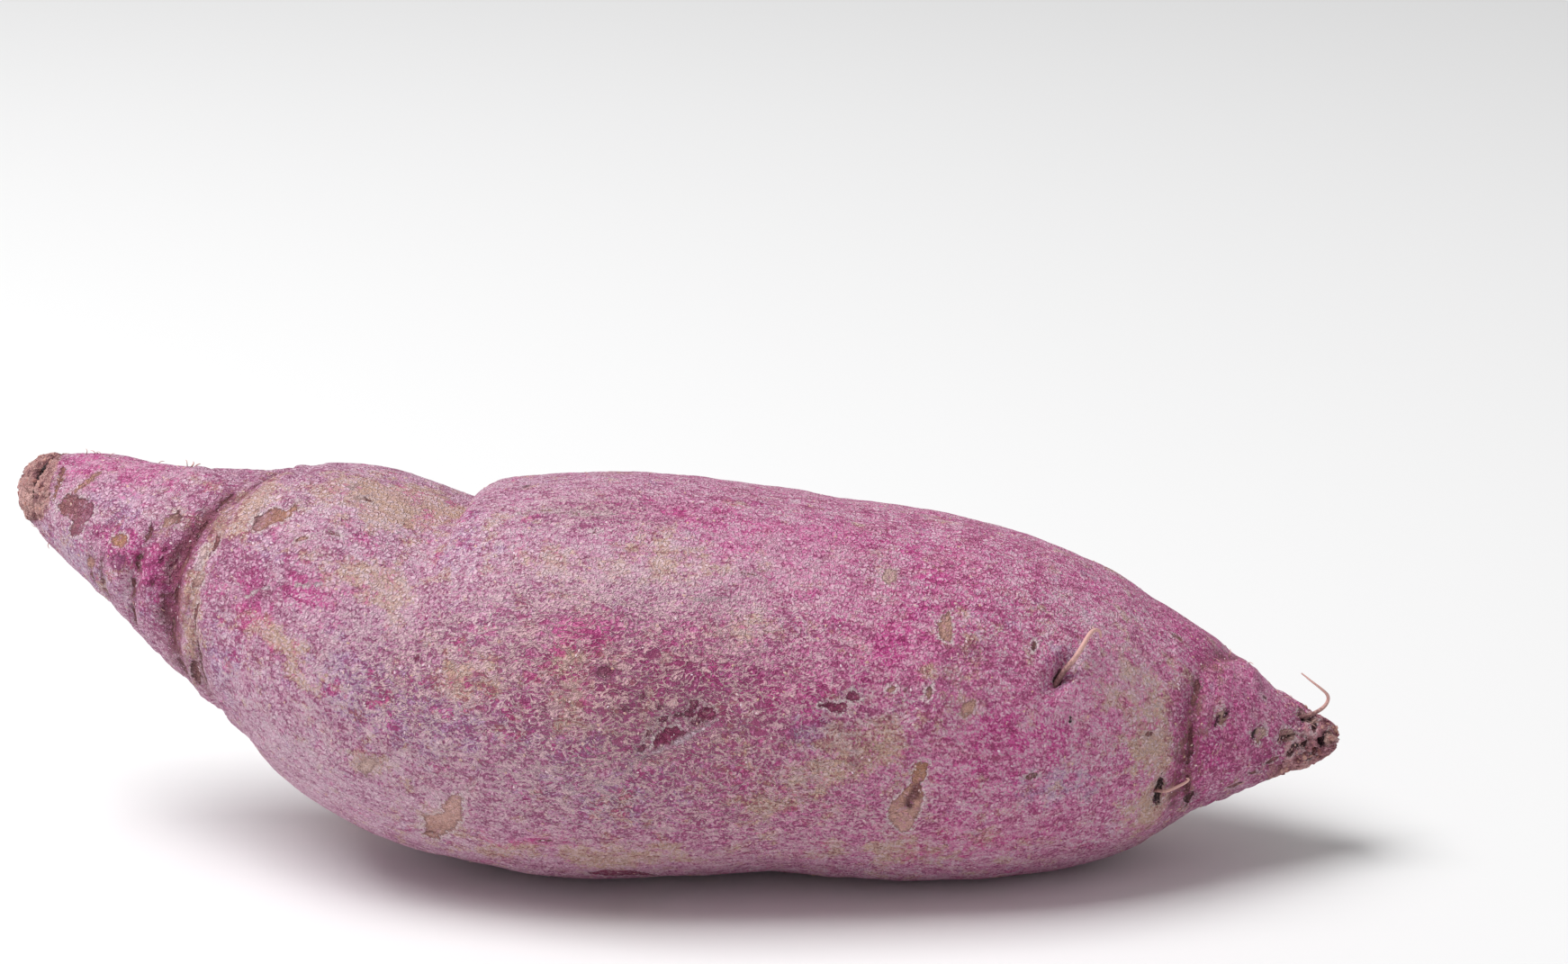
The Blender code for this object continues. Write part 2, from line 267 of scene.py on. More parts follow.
@dataclass
class RootForm:
    """The root's form, in millimetres: the same numbers and rules as the solid's source."""

    stations: tuple = (
        Station(-85.5, 21, 46.8, 2.8, 3.2),
        Station(-78.5, 17.5, 44.4, 6.8, 7.4),
        Station(-71.5, 13.8, 42, 8.9, 9.8),
        Station(-64, 10.4, 39.4, 11.3, 12.4),
        Station(-55, 6.8, 36.6, 15, 16.4),
        Station(-44.5, 3.6, 33.7, 19.4, 22),
        Station(-33, 1.6, 28.2, 22.5, 25.5),
        Station(-21.4, 0.5, 26.7, 24.8, 28),
        Station(-9, 0, 26.4, 25.6, 29),
        Station(5, 0, 26, 24.6, 28.6),
        Station(19.5, 0, 25, 23.8, 27.6),
        Station(34.7, 0.4, 23, 23.1, 26),
        Station(48.2, 1, 20.9, 20.4, 22.4),
        Station(58.3, 1.4, 20, 16.4, 17.6),
        Station(66, 1.6, 19.5, 11.8, 12.5),
        Station(74, 1.6, 18.2, 7.3, 7.6),
        Station(80, 1.6, 17.3, 3.6, 3.8),
        Station(84.5, 1.6, 16.6, 1.7, 1.8),
    )
    crown_cap: float = 2.6
    tail_cap: float = 1.8
    flat_rise: float = 1.5
    neck_ring: Groove = Groove(
        ((-180, 33.4, 0.5), (-120, 34.6, 0.7), (-60, 34.4, 0.5), (-27, 33.3, 1.1),
         (0, 31.8, 1.5), (20, 31, 1.6), (47, 31.6, 1.2), (85, 32.6, 0.5),
         (130, 33.2, 0.3), (180, 33.4, 0.5)),
        2.4, 1.3,
    )
    grooves: tuple = (
        Groove(((-60, 9, 0), (-25, 7.6, 0.5), (0, 5.6, 0.8), (14, 4.8, 0.9),
                (55, 3.9, 0.8), (85, 3.7, 0.6), (125, 4.6, 0)), 0.7, 0.6),
        Groove(((-60, 26.6, 0), (-20, 25.5, 0.7), (8, 25.1, 0.8), (23, 25.5, 0.6),
                (50, 26.6, 0.3), (75, 27.5, 0)), 1.4, 1.2),
        Groove(((-65, 38.5, 0), (-30, 36.7, 0.7), (-10, 35.8, 0.7), (10, 34.9, 0.5),
                (35, 34, 0.5), (60, 34.2, 0.6), (86, 35, 0.9), (112, 36, 0.4),
                (135, 37, 0)), 0.9, 1.2),
        Groove(((-10, 45, 0), (9, 43.4, 0.3), (20, 41.4, 0.4), (32, 38.8, 0.3),
                (45, 37.5, 0)), 1.4, 1.6),
        Groove(((-70, 157.6, 0), (-45, 156.6, 0.6), (-24, 156.1, 1), (6, 156.7, 1),
                (24, 157.2, 0.9), (54, 158.4, 0.6), (85, 162, 1), (112, 163.4, 0.4),
                (140, 164, 0)), 1.8, 1.2),
    )
    valleys: tuple = (
        Groove(((25, 51.6, 0), (45, 52, 0.3), (57, 52.9, 0.7), (66, 54.6, 0.9),
                (76, 57, 1.2), (87, 59.6, 1.35), (105, 61.6, 1.2), (135, 64, 0.7),
                (165, 66, 0)), 7.5, 4.8),
        Groove(((130, 103, 0), (150, 101, 0.5), (175, 100, 0.8),
                (-160, 101.5, 0.5), (-140, 103, 0)), 4, 5),
    )
    pits: tuple = (
        Pit(138, 32.5, 3.2, 1.5, 58, 1.4),
        Pit(152.9, -16.5, 2.3, 1.2, 88, 1.2),
        Pit(158.6, -36, 1.8, 1.5, 70, 1),
        Pit(115.4, 0.5, 8, 5, 0, 0.45),
        Pit(121.2, -11, 5, 1.5, 80, 0.5),
        Pit(38.9, 55.5, 2.6, 1.2, 20, 0.4),
        Pit(13.6, 20.5, 2, 2.2, 0, 0.3),
        Pit(66.5, -34, 2.6, 2, 60, 0.3),
        Pit(92.9, 7, 5, 1.8, 32, 0.3),
        Pit(88, 172, 9, 7, 15, 0.6),
        Pit(128, 150, 6, 4, 60, 0.5),
        Pit(160.8, 21.5, 1.3, 1.3, 0, 0.6),
        Pit(166.5, 14, 1.3, 1.3, 0, 0.7),
        Pit(170.4, 17.5, 1.2, 1, 0, 0.6),
        Pit(172.6, 60, 1.1, 1.1, 0, 0.6),
    )
    pit_steepness: float = 1.4
    knob_seed: int = 5
    knobs: int = 16
    knob_sizes: tuple = (0.9, 1.6)
    knob_heights: tuple = (0.3, 0.6)
    knobs_from: float = 162.5
    knobs_to: float = 176.0
    lump_seed: int = 12
    lumps: int = 10
    lump_lengths: tuple = (22, 60)
    lump_height: float = 0.8
    front_lumps: float = 0.12
    back_starts: float = 112.0
    back_whole: float = 160.0
    trial_rings: int = 900
    trial_turn: float = 4.0
    way_step: float = 0.05
    normal_step: float = 0.2
    normal_turn: float = 1.0
    least_reach: float = 3.0
    length: float = field(init=False)
    section: Callable = field(init=False)
    set_down: Array = field(init=False)

    def __post_init__(self) -> None:
        """Draws the middle line, and finds how far the form moves to lie where the solid lies."""
        table = np.array(self.stations)
        steps = np.linalg.norm(np.diff(table[:, :3], axis=0), axis=1)
        places = np.concatenate([[0.0], np.cumsum(steps)])
        self.length = float(places[-1])
        self.section = spline_through(places, table)
        self.set_down = np.zeros(3)
        low = np.array(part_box(NODE)[0]) / MM
        places = np.linspace(0, self.length, self.trial_rings)
        along, around = np.meshgrid(places, np.arange(-180, 180, self.trial_turn), indexing="ij")
        points = self.skin(along, around)
        self.set_down = low - points.reshape(-1, 3).min(axis=0)
        self.set_down[2] = low[2] - self.flat_rise

    def girth(self, along: float) -> float:
        """The section's mean half size at a place along the root."""
        return float(self.section(along)[0, 3:].mean())

    def laid_flat(self, line: tuple, along: Array, around: Array) -> Pair:
        """Lays the skin flat round the middle of a drawn line.

        Args:
            line: the line's (along, round) points.
            along, around: where the points are on the skin.

        Returns:
            The points and the line's corners, in millimetres from its middle.
        """
        corners = np.array(line, float)
        middle = tuple(corners.mean(axis=0))
        points = np.stack(self.apart(along, around, middle), axis=-1)
        return points, np.stack(self.apart(corners[:, 0], corners[:, 1], middle), axis=-1)

    def apart(self, along: Array, around: Array, place: tuple[float, float]) -> Pair:
        """How far points lie from a place of the skin.

        Args:
            along, around: where the points are on the skin.
            place: the other place, as (along, round).

        Returns:
            Millimetres towards the tail, and millimetres up round the root.
        """
        turned = np.radians(degrees_apart(around, place[1]))
        return along - place[0], turned * self.girth(place[0])

    def groove_relief(self, groove: Groove, along: Array, around: Array) -> Array:
        """How far a crease presses the skin in.

        Args:
            groove: the crease.
            along, around: where the points are on the skin.

        Returns:
            The relief in millimetres, as negative numbers.
        """
        points = np.array(groove.line, float)
        start = points[0, 0]
        rounds = start + np.concatenate([[0], np.cumsum(np.diff(points[:, 0]) % 360)])
        here = start + (around - start) % 360
        line, depth = np.moveaxis(spline_through(rounds, points[:, 1:])(here), -1, 0)
        depth = np.where(here <= rounds[-1], np.maximum(depth, 0), 0)
        gap = along - line
        width = np.where(gap < 0, groove.crown_side, groove.tail_side)
        return -depth * np.exp(-((gap / width) ** 2))

    def oval_reach(self, oval: "Pit | Spot | Cloud", along: Array, around: Array) -> Pair:
        """How far points lie from an oval's middle.

        Args:
            oval: a pit, a spot or a cloud.
            along, around: where the points are on the skin.

        Returns:
            The distances along its length and across it, as shares of its half sizes.
        """
        east, north = self.apart(along, around, (oval.along, oval.around))
        cos, sin = math.cos(math.radians(oval.turn)), math.sin(math.radians(oval.turn))
        u = (east * cos + north * sin) / oval.half_long
        v = (north * cos - east * sin) / oval.half_wide
        return u, v

    def pit_relief(self, pit: Pit, along: Array, around: Array) -> Array:
        """How far a pit presses the skin in, in millimetres, as negative numbers."""
        u, v = self.oval_reach(pit, along, around)
        return -pit.deep * np.exp(-((u * u + v * v) ** self.pit_steepness))

    def tail_knobs(self) -> Iterator[Pit]:
        """Draws the corky knobs of the tail, each a small pit turned outwards.

        Returns:
            Each knob in turn.
        """
        draw = random.Random(self.knob_seed)
        for _ in range(self.knobs):
            along = draw.uniform(self.knobs_from, self.knobs_to)
            size = draw.uniform(*self.knob_sizes)
            around = draw.uniform(-180, 180)
            yield Pit(along, around, size, size, 0.0, -draw.uniform(*self.knob_heights))

    def lump_relief(self, along: Array, around: Array) -> Array:
        """The root's slow swells, as waves along and round it, broader at the back.

        Args:
            along, around: where the points are on the skin.

        Returns:
            The relief in millimetres.
        """
        draw = random.Random(self.lump_seed)
        relief = np.zeros_like(along)
        for _ in range(self.lumps):
            length = draw.uniform(*self.lump_lengths)
            turns = draw.randint(1, 4)
            phase = draw.uniform(0, 2 * math.pi)
            twist = draw.uniform(0, 2 * math.pi)
            wave = np.sin(2 * math.pi * along / length + phase)
            height = self.lump_height * length / self.lump_lengths[1]
            relief += height * wave * np.sin(np.radians(turns * around) + twist)
        turned = np.abs(degrees_apart(around, 0.0))
        back = smooth(turned, self.back_starts, self.back_whole)
        return relief * (self.front_lumps + (1 - self.front_lumps) * back)

    def creases(self, along: Array, around: Array) -> Array:
        """The relief of the narrow creases alone, which the finish also draws darker than the skin,
        partly as painted shade.

        Args:
            along, around: where the points are on the skin.

        Returns:
            The relief in millimetres, as negative numbers.
        """
        return sum(
            self.groove_relief(groove, along, around)
            for groove in (self.neck_ring, *self.grooves)
        )

    def relief(self, along: Array, around: Array) -> Array:
        """The whole relief over the plain loft.

        Args:
            along, around: where the points are on the skin.

        Returns:
            The relief in millimetres.
        """
        relief = self.lump_relief(along, around) + self.creases(along, around)
        for valley in self.valleys:
            relief = relief + self.groove_relief(valley, along, around)
        for pit in (*self.pits, *self.tail_knobs()):
            relief = relief + self.pit_relief(pit, along, around)
        return relief

    def axes(self, along: Array) -> tuple[Array, Array, Array]:
        """The sections of the root.

        Args:
            along: where they are along the root.

        Returns:
            The section at each place, and the unit ways back and up across it.
        """
        here = self.section(along)
        step = self.way_step
        line = self.section(along + step)[..., :3] - self.section(along - step)[..., :3]
        line /= np.linalg.norm(line, axis=-1, keepdims=True)
        back = np.cross([0.0, 0.0, 1.0], line)
        back /= np.linalg.norm(back, axis=-1, keepdims=True)
        return here, back, np.cross(line, back)

    def cap_share(self, along: Array) -> Array:
        """How much of a section is left near the rounded ends.

        Args:
            along: where the sections are along the root.

        Returns:
            Shares from 0 at an end to 1.
        """
        shares = []
        for distance, cap in ((along, self.crown_cap), (self.length - along, self.tail_cap)):
            short = 1 - np.clip(distance / cap, 0.0, 1.0)
            shares.append(np.sqrt(1 - short**2))
        return shares[0] * shares[1]

    def skin(self, along: Array, around: Array, finer: Array | float = 0.0) -> Array:
        """Points of the skin.

        Args:
            along: millimetres along the middle line.
            around: degrees round it.
            finer: relief in millimetres to add to the form's own.

        Returns:
            The points in millimetres, where the solid has them.
        """
        here, back, up = self.axes(along)
        angle = np.radians(around)
        outward = up * (here[..., 3] * np.sin(angle))[..., None]
        outward -= back * (here[..., 4] * np.cos(angle))[..., None]
        reach = np.linalg.norm(outward, axis=-1)
        relief = self.relief(along, around) + finer
        share = self.cap_share(along) * (1 + relief / np.maximum(reach, self.least_reach))
        return here[..., :3] + outward * share[..., None] + self.set_down

    def normal(self, along: Array, around: Array) -> Array:
        """The way out of the skin.

        Args:
            along, around: where the points are on the skin.

        Returns:
            Unit vectors.
        """
        step, turn = self.normal_step, self.normal_turn
        ahead = self.skin(along + step, around) - self.skin(along - step, around)
        sideways = self.skin(along, around + turn) - self.skin(along, around - turn)
        normal = np.cross(ahead, sideways)
        return normal / np.linalg.norm(normal, axis=-1, keepdims=True)


@dataclass(frozen=True)
class Wire:
    """A node's output that takes part in Python arithmetic by adding Math nodes."""

    graph: "Graph"
    socket: NodeSocket

    def __add__(self, other: "Wire | float") -> "Wire":
        """self + other."""
        return self.graph.maths("ADD", self, other)

    def __radd__(self, other: float) -> "Wire":
        """other + self."""
        return self.graph.maths("ADD", other, self)

    def __sub__(self, other: "Wire | float") -> "Wire":
        """self - other."""
        return self.graph.maths("SUBTRACT", self, other)

    def __rsub__(self, other: float) -> "Wire":
        """other - self."""
        return self.graph.maths("SUBTRACT", other, self)

    def __mul__(self, other: "Wire | float") -> "Wire":
        """self * other."""
        return self.graph.maths("MULTIPLY", self, other)

    def __rtruediv__(self, other: float) -> "Wire":
        """other / self."""
        return self.graph.maths("DIVIDE", other, self)

    def step(self, low: float, high: float) -> "Wire":
        """From 0 at low to 1 at high, with soft ends.

        Args:
            low: the value that gives 0; it may be above high.
            high: the value that gives 1.

        Returns:
            The stepped value.
        """
        settings = {"interpolation_type": "SMOOTHSTEP"}
        sockets = {"Value": self, "From Min": low, "From Max": high}
        return self.graph.out("ShaderNodeMapRange", settings, sockets)


@dataclass
class Graph:
    """A node tree that is written as Python calls and expressions."""

    tree: NodeTree

    def node(
        self,
        kind: str,
        settings: Mapping[str, Any] | None = None,
        sockets: Mapping[str | int, Any] | None = None,
    ) -> Node:
        """Adds a node.

        Args:
            kind: the node's type.
            settings: its own properties, set first.
            sockets: values, tones or wires for its inputs, by name or number.

        Returns:
            The node.
        """
        node = self.tree.nodes.new(kind)
        for name, value in (settings or {}).items():
            setattr(node, name, value)
        for name, value in (sockets or {}).items():
            if isinstance(value, Wire):
                self.tree.links.new(value.socket, node.inputs[name])
            else:
                node.inputs[name].default_value = value.light if isinstance(value, Tone) else value
        return node

    def out(
        self,
        kind: str,
        settings: Mapping[str, Any] | None = None,
        sockets: Mapping[str | int, Any] | None = None,
        output: str | int = 0,
    ) -> Wire:
        """Adds a node and returns one of its outputs, the first unless another is named."""
        return Wire(self, self.node(kind, settings, sockets).outputs[output])

    def maths(self, operation: str, *values: Wire | float) -> Wire:
        """A Math node of these values."""
        return self.out("ShaderNodeMath", {"operation": operation}, dict(enumerate(values)))

    def stretched(self, vector: Wire, shares: Sequence[float]) -> Wire:
        """A vector times these three shares."""
        sockets = {0: vector, 1: tuple(shares)}
        return self.out("ShaderNodeVectorMath", {"operation": "MULTIPLY"}, sockets)

    def mixed(self, share: Wire | float, first: Any, second: Any) -> Wire:
        """A colour between the first and the second."""
        settings = {"data_type": "RGBA", "clamp_factor": True}
        return self.out("ShaderNodeMix", settings, {0: share, 6: first, 7: second}, 2)

    def noise(
        self,
        vector: Wire,
        size: Wire | float,
        detail: float = 2.0,
        rough: float = 0.5,
        seed: Wire | float = 0.0,
    ) -> Wire:
        """Smooth noise.

        Args:
            vector: where it is read.
            size: about how large its features are.
            detail: how many finer layers it has.
            rough: how strong they are.
            seed: which noise it is.

        Returns:
            The noise, from 0 to 1.
        """
        sockets = {
            "Vector": vector, "W": seed, "Scale": 1 / size, "Detail": detail, "Roughness": rough,
        }
        return self.out("ShaderNodeTexNoise", {"noise_dimensions": "4D"}, sockets)

    def warped(self, vector: Wire, size: float, reach: float, seed: float) -> Wire:
        """Shifts a vector by smooth noise.

        Args:
            vector: the vector.
            size: about how large the noise's features are.
            reach: twice the largest shift, about.
            seed: which noise it is.

        Returns:
            The shifted vector.
        """
        sockets = {"Vector": vector, "W": seed, "Scale": 1 / size, "Detail": 2.0}
        shake = self.out("ShaderNodeTexNoise", {"noise_dimensions": "4D"}, sockets, "Color")
        sockets = {0: shake, 1: (reach, reach, reach), 2: vector}
        return self.out("ShaderNodeVectorMath", {"operation": "MULTIPLY_ADD"}, sockets)

    def named(self, name: str, kind: str = "Fac") -> Wire:
        """A number, or of another kind a vector or colour, that the mesh carries."""
        return self.out("ShaderNodeAttribute", {"attribute_name": name}, {}, kind)

    def cells(self, vector: Wire, size: float, feature: str = "F1") -> Node:
        """A Voronoi node whose cells are about as large as size."""
        sockets = {"Vector": vector, "Scale": 1 / size}
        return self.node("ShaderNodeTexVoronoi", {"feature": feature}, sockets)

    def split(self, vector: Wire) -> dict[str, Wire]:
        """A vector's X, Y and Z."""
        node = self.node("ShaderNodeSeparateXYZ", {}, {0: vector})
        return {name: Wire(self, node.outputs[name]) for name in "XYZ"}


@dataclass(frozen=True)
class Finish:
    """A material written on a graph. A subclass fills in its surface."""

    name: str = "finish"
    roughness: float = 0.7
    bump: float = 0.1

    def bumped(self, graph: Graph, height: Wire) -> Wire:
        """The normal that a height gives, with this finish's bump in millimetres."""
        return graph.out("ShaderNodeBump", {}, {"Height": height, "Distance": self.bump * MM})

    def material(self) -> Material:
        """Makes the material, with this finish's surface.

        Returns:
            The material.
        """
        made = bpy.data.materials.new(self.name)
        made.use_nodes = True
        made.node_tree.nodes.clear()
        graph = Graph(made.node_tree)
        shader = graph.node("ShaderNodeBsdfPrincipled", {}, self.surface(graph))
        graph.node("ShaderNodeOutputMaterial", {}, {"Surface": Wire(graph, shader.outputs[0])})
        return made

    def surface(self, graph: Graph) -> dict[str, Any]:
        """What the shader's sockets get."""
        raise NotImplementedError


def object_mm(graph: Graph) -> Wire:
    """Object coordinates in millimetres."""
    place = graph.out("ShaderNodeTexCoord", {}, {}, "Object")
    return graph.stretched(place, (1 / MM, 1 / MM, 1 / MM))


@dataclass(frozen=True)
class SkinFinish(Finish):
    """Dusty rose skin with tan, lavender and magenta patches, scars, creases and cork.

    The sizes are those of the noises' features, and the stretches draw them out along the
    root or round it.
    """

    name: str = "purple_skin"
    grain_size: float = 0.34
    cell_size: float = 0.5
    crinkle_size: float = 0.62
    furrow_size: float = 0.8
    mottle_size: float = 0.62
    fleck_size: float = 1.5
    blotch_size: float = 3.0
    dusk_size: float = 5.0
    drift_size: float = 13.0
    scale_size: float = 0.75
    scab_size: float = 1.3
    scab_spot_size: float = 0.9
    scar_wander_size: float = 1.0
    scar_fibre_size: float = 0.6
    scar_gap_size: float = 0.8
    streak_stretch: tuple = (0.42, 1, 1)
    crest_stretch: tuple = (0.44, 1, 1)
    scale_stretch: tuple = (1, 0.3, 0.3)
    scab_stretch: tuple = (1, 0.35, 0.35)
    # Tint of the dark specks: partly darker skin, partly painted shade in the gaps between the
    # raised grains.
    dark_speck_and_shade_tint: tuple = (0.58, 0.30, 0.46)
    scar_shade: tuple = (0.42, 0.30, 0.33)
    roughness: float = 0.56
    gloss: float = 0.35
    bump: float = 0.2

    def surface(self, graph: Graph) -> dict[str, Any]:
        """Skin colour, from its tints to its grain, then creases, cork and scars over it.

        Args:
            graph: the material's graph.

        Returns:
            What the shader's sockets get.
        """
        body = object_mm(graph)
        place = graph.named("place", "Vector")
        along_skin = graph.stretched(place, self.streak_stretch)
        wrinkled = graph.named("wrinkled")
        grain = graph.noise(body, self.grain_size, rough=0.6) - 0.5
        fleck = graph.noise(along_skin, self.fleck_size, 3.0, 0.6, seed=6.0) - 0.5
        luck, crumb = self.crumbs(graph, body)
        grains = self.grains(graph, body)
        crests = self.crests(graph, place)
        pattern = (grains - 0.5) * (0.6 - wrinkled * 0.3) + (crests - 0.36) * wrinkled * 1.65
        mottle = graph.noise(along_skin, self.mottle_size, 3.0, 0.7, seed=11.0) - 0.5
        dusk = graph.noise(body, self.dusk_size, 3.0, 0.6, seed=15.0) - 0.5
        # How light the skin is drawn: partly random tone, partly painted light and shade, lighter
        # on the raised grains and crests and darker in the narrow gaps between the grains.
        fine = (
            grain * 2.6
            + mottle * (2.3 - wrinkled * 0.6)
            + (luck - 0.5) * 0.4
            + pattern
            + fleck * 1.25
            + dusk * 0.8
            + graph.named("fine_relief") * 0.6
        ) * (1.0 - graph.named("tan") * 0.55)
        colour = self.tints(graph, body, along_skin, grain, pattern)
        colour = self.speckled(graph, colour, fine, crumb)
        colour = self.with_creases(graph, colour, place, grain, fleck)
        colour = self.with_cork(graph, colour, body, place, grain)
        gap, colour = self.with_scars(graph, colour, body, grain, crumb)
        height = (
            grain * 0.9
            + luck * 0.25
            + grains * (1.0 - wrinkled * 0.5)
            + crests * wrinkled * 1.6
            + crumb * 0.7
            + gap.step(-0.2, 0.12) * 0.5
        )
        return {
            "Base Color": colour,
            "Roughness": self.roughness + fine * 0.1,
            "Normal": self.bumped(graph, height),
            "Specular IOR Level": self.gloss,
        }

    def crumbs(self, graph: Graph, body: Wire) -> tuple[Wire, Wire]:
        """The skin's smallest cells.

        Args:
            graph: the material's graph.
            body: the place in millimetres.

        Returns:
            A drawn number for each cell, and where a bright crumb lies, both from 0 to 1.
        """
        cell = graph.cells(graph.warped(body, 0.45, 0.7, seed=3.0), self.cell_size)
        luck = graph.out("ShaderNodeSeparateColor", {}, {0: Wire(graph, cell.outputs["Color"])})
        distance = Wire(graph, cell.outputs["Distance"])
        return luck, (luck - distance * 0.9).step(0.62, 0.86)

    def grains(self, graph: Graph, body: Wire) -> Wire:
        """Small raised fields.

        Args:
            graph: the material's graph.
            body: the place in millimetres.

        Returns:
            From 0 in the narrow gaps between the fields to 1 on them.
        """
        bent = graph.warped(body, 0.55, 1.3, seed=1.0)
        cell = graph.cells(bent, self.crinkle_size, "DISTANCE_TO_EDGE")
        return Wire(graph, cell.outputs["Distance"]).step(0.0, 0.32)

    def crests(self, graph: Graph, place: Wire) -> Wire:
        """Narrow wavy crests, which two folded noises draw along the root.

        Args:
            graph: the material's graph.
            place: the place on the skin.

        Returns:
            The crests, from 0 beside them to 1 on them.
        """
        bent = graph.warped(graph.warped(place, 2.4, 2.6, seed=2.0), 0.7, 0.5, seed=4.0)
        bent = graph.stretched(bent, self.crest_stretch)
        first = graph.noise(bent, self.furrow_size, seed=21.0) - 0.5
        second = graph.noise(bent, self.furrow_size * 1.4, seed=22.0) - 0.5
        return graph.maths(
            "MAXIMUM",
            graph.maths("ABSOLUTE", first).step(0.055, 0.0),
            graph.maths("ABSOLUTE", second).step(0.035, 0.0),
        )

    def speckled(self, graph: Graph, colour: Wire, fine: Wire, crumb: Wire) -> Wire:
        """Lighter and darker specks over a colour: partly random tone, partly painted light and
        shade, lighter on the raised grains and crests and darker in the gaps between them.

        Args:
            graph: the material's graph.
            colour: the colour so far.
            fine: how light the skin is at each point, around 0.
            crumb: where a bright crumb lies.

        Returns:
            The speckled colour.
        """
        shift = graph.named("plum") * 0.1 - graph.named("pale") * 0.2 - 0.19
        wrinkled, magenta = graph.named("wrinkled"), graph.named("magenta")
        light = graph.mixed(wrinkled * 0.8, Tone.PALE, Tone.CREST_TAN_AND_HIGHLIGHT)
        light = graph.mixed(magenta * 0.35, light, Tone.MAGENTA)
        colour = graph.mixed((fine - shift).step(0.0, 0.55) * 0.7, colour, light)
        colour = graph.mixed(crumb * 0.6, colour, Tone.LIP)
        # Dark specks: partly darker skin, partly painted shade in the gaps between the grains.
        deep = graph.mixed(0.35, graph.stretched(colour, self.dark_speck_and_shade_tint), Tone.WINE)
        return graph.mixed((fine - shift).step(0.0, -0.5) * 0.9, colour, deep)

    def tints(self, graph: Graph, body: Wire, along_skin: Wire, grain: Wire, pattern: Wire) -> Wire:
        """The skin's hue: rose, riper towards the tail, with soft patches of other tints.

        Args:
            graph: the material's graph.
            body: the place in millimetres.
            along_skin: the place on the skin, stretched along the root.
            grain: the finest noise.
            pattern: the grains and crests, which the patches' edges follow.

        Returns:
            The colour before its specks.
        """
        drift = graph.noise(body, self.drift_size) - 0.5
        streak = graph.noise(along_skin, self.fleck_size, 3.0, 0.6, seed=7.0) - 0.5

        def patch(name: str, seed: float, low: float, high: float, placed: float = 1.3) -> Wire:
            """How strong a tint is: where it was placed, and where chance puts it.

            Args:
                name: the tint's attribute.
                seed: which noise is its chance.
                low: the share below which there is none.
                high: the share above which it is whole.
                placed: how much a placed patch counts.

            Returns:
                The tint's strength, from 0 to 1.
            """
            chance = graph.noise(body, self.blotch_size, 5.0, 0.7, seed) - 0.5
            share = graph.named(name) * placed + chance * 6.2 + drift * 1.2 + grain * 1.3
            return (share - pattern * 0.5).step(low, high)

        colour = graph.mixed(graph.named("ripe"), Tone.ROSE, Tone.DEEP_ROSE)
        colour = graph.mixed(patch("lavender", 3.0, 0.35, 1.15) * 0.95, colour, Tone.LAVENDER)
        tan = (patch("tan", 2.0, 0.3, 1.1, 1.9) + streak * 1.4) * 0.95
        colour = graph.mixed(tan, colour, Tone.TAN)
        colour = graph.mixed(patch("magenta", 4.0, 0.3, 1.3) * 0.85, colour, Tone.MAGENTA)
        colour = graph.mixed(patch("plum", 5.0, 0.6, 1.7) * 0.5, colour, Tone.PLUM)
        return graph.mixed(graph.named("pale") * 0.35, colour, Tone.PALE)

    def with_creases(
        self, graph: Graph, colour: Wire, place: Wire, grain: Wire, fleck: Wire
    ) -> Wire:
        """Creases drawn darker and red-brown towards their depth, partly their own colour and
        partly painted shade, with scaly brown sides, the deepest redder on its crown side.

        Args:
            graph: the material's graph.
            colour: the colour so far.
            place: the place on the skin.
            grain: the finest noise.
            fleck: a broader noise.

        Returns:
            The colour with the creases over it.
        """
        crease = graph.named("crease")
        share = (crease * (1.0 + grain * 3.0 + fleck * 4.5)).step(0.3, 1.3)
        # Darker towards each crease's depth: partly its own red-brown, partly painted shade.
        colour = graph.mixed(share * 0.82, colour, Tone.CREASE)
        red = (graph.named("ring_red") * (1.0 + grain * 2.0 + fleck * 2.0)).step(0.3, 1.6)
        colour = graph.mixed(red * 0.6, colour, Tone.CREASE_RED)
        across = graph.stretched(place, self.scale_stretch)
        scale = graph.noise(across, self.scale_size, 4.0, 0.7, seed=14.0) - 0.5
        scaly = graph.named("scaly")
        share = (scaly * 0.3 + scale * 3.2 + grain * 0.9).step(0.35, 0.75)
        tone = graph.mixed((scale + grain * 0.8).step(0.1, 0.3), Tone.BARK, Tone.CORK)
        tone = graph.mixed((fleck + grain).step(-0.1, -0.3) * 0.8, tone, Tone.UMBER)
        return graph.mixed(share * scaly.step(0.05, 0.5) * 0.75, colour, tone)

    def with_cork(self, graph: Graph, colour: Wire, body: Wire, place: Wire, grain: Wire) -> Wire:
        """Tan and brown cork at the crown's end and under the tail, and the crown's crack in
        near-black painted shadow.

        Args:
            graph: the material's graph.
            colour: the colour so far.
            body: the place in millimetres.
            place: the place on the skin.
            grain: the finest noise.

        Returns:
            The colour with the cork over it.
        """
        around = graph.stretched(place, self.scab_stretch)
        scab = graph.noise(around, self.scab_size, 3.0, 0.65, seed=8.0) - 0.5
        spot = graph.noise(body, self.scab_spot_size, 3.0, 0.65, seed=9.0) - 0.5
        share = (graph.named("corky") + scab * 1.8 + grain * 0.8).step(0.35, 0.65)
        cork = graph.mixed((scab * 3.0 + 0.45).step(0.1, 0.9), Tone.BARK, Tone.SAND)
        cork = graph.mixed((spot + grain * 0.5).step(0.0, 0.25) * 0.8, cork, Tone.BEIGE)
        cork = graph.mixed(graph.named("ripe") * 0.3, cork, Tone.DEEP_ROSE)
        cork = graph.mixed((spot + scab).step(0.02, -0.24) * 0.85, cork, Tone.UMBER)
        colour = graph.mixed(share * 0.92, colour, cork)
        # The crack is drawn near-black: painted shadow in it.
        split = (graph.named("crack") + scab * 0.6 + grain * 0.3).step(0.42, 0.68)
        return graph.mixed(split, colour, Tone.SHADOW_BLACK)

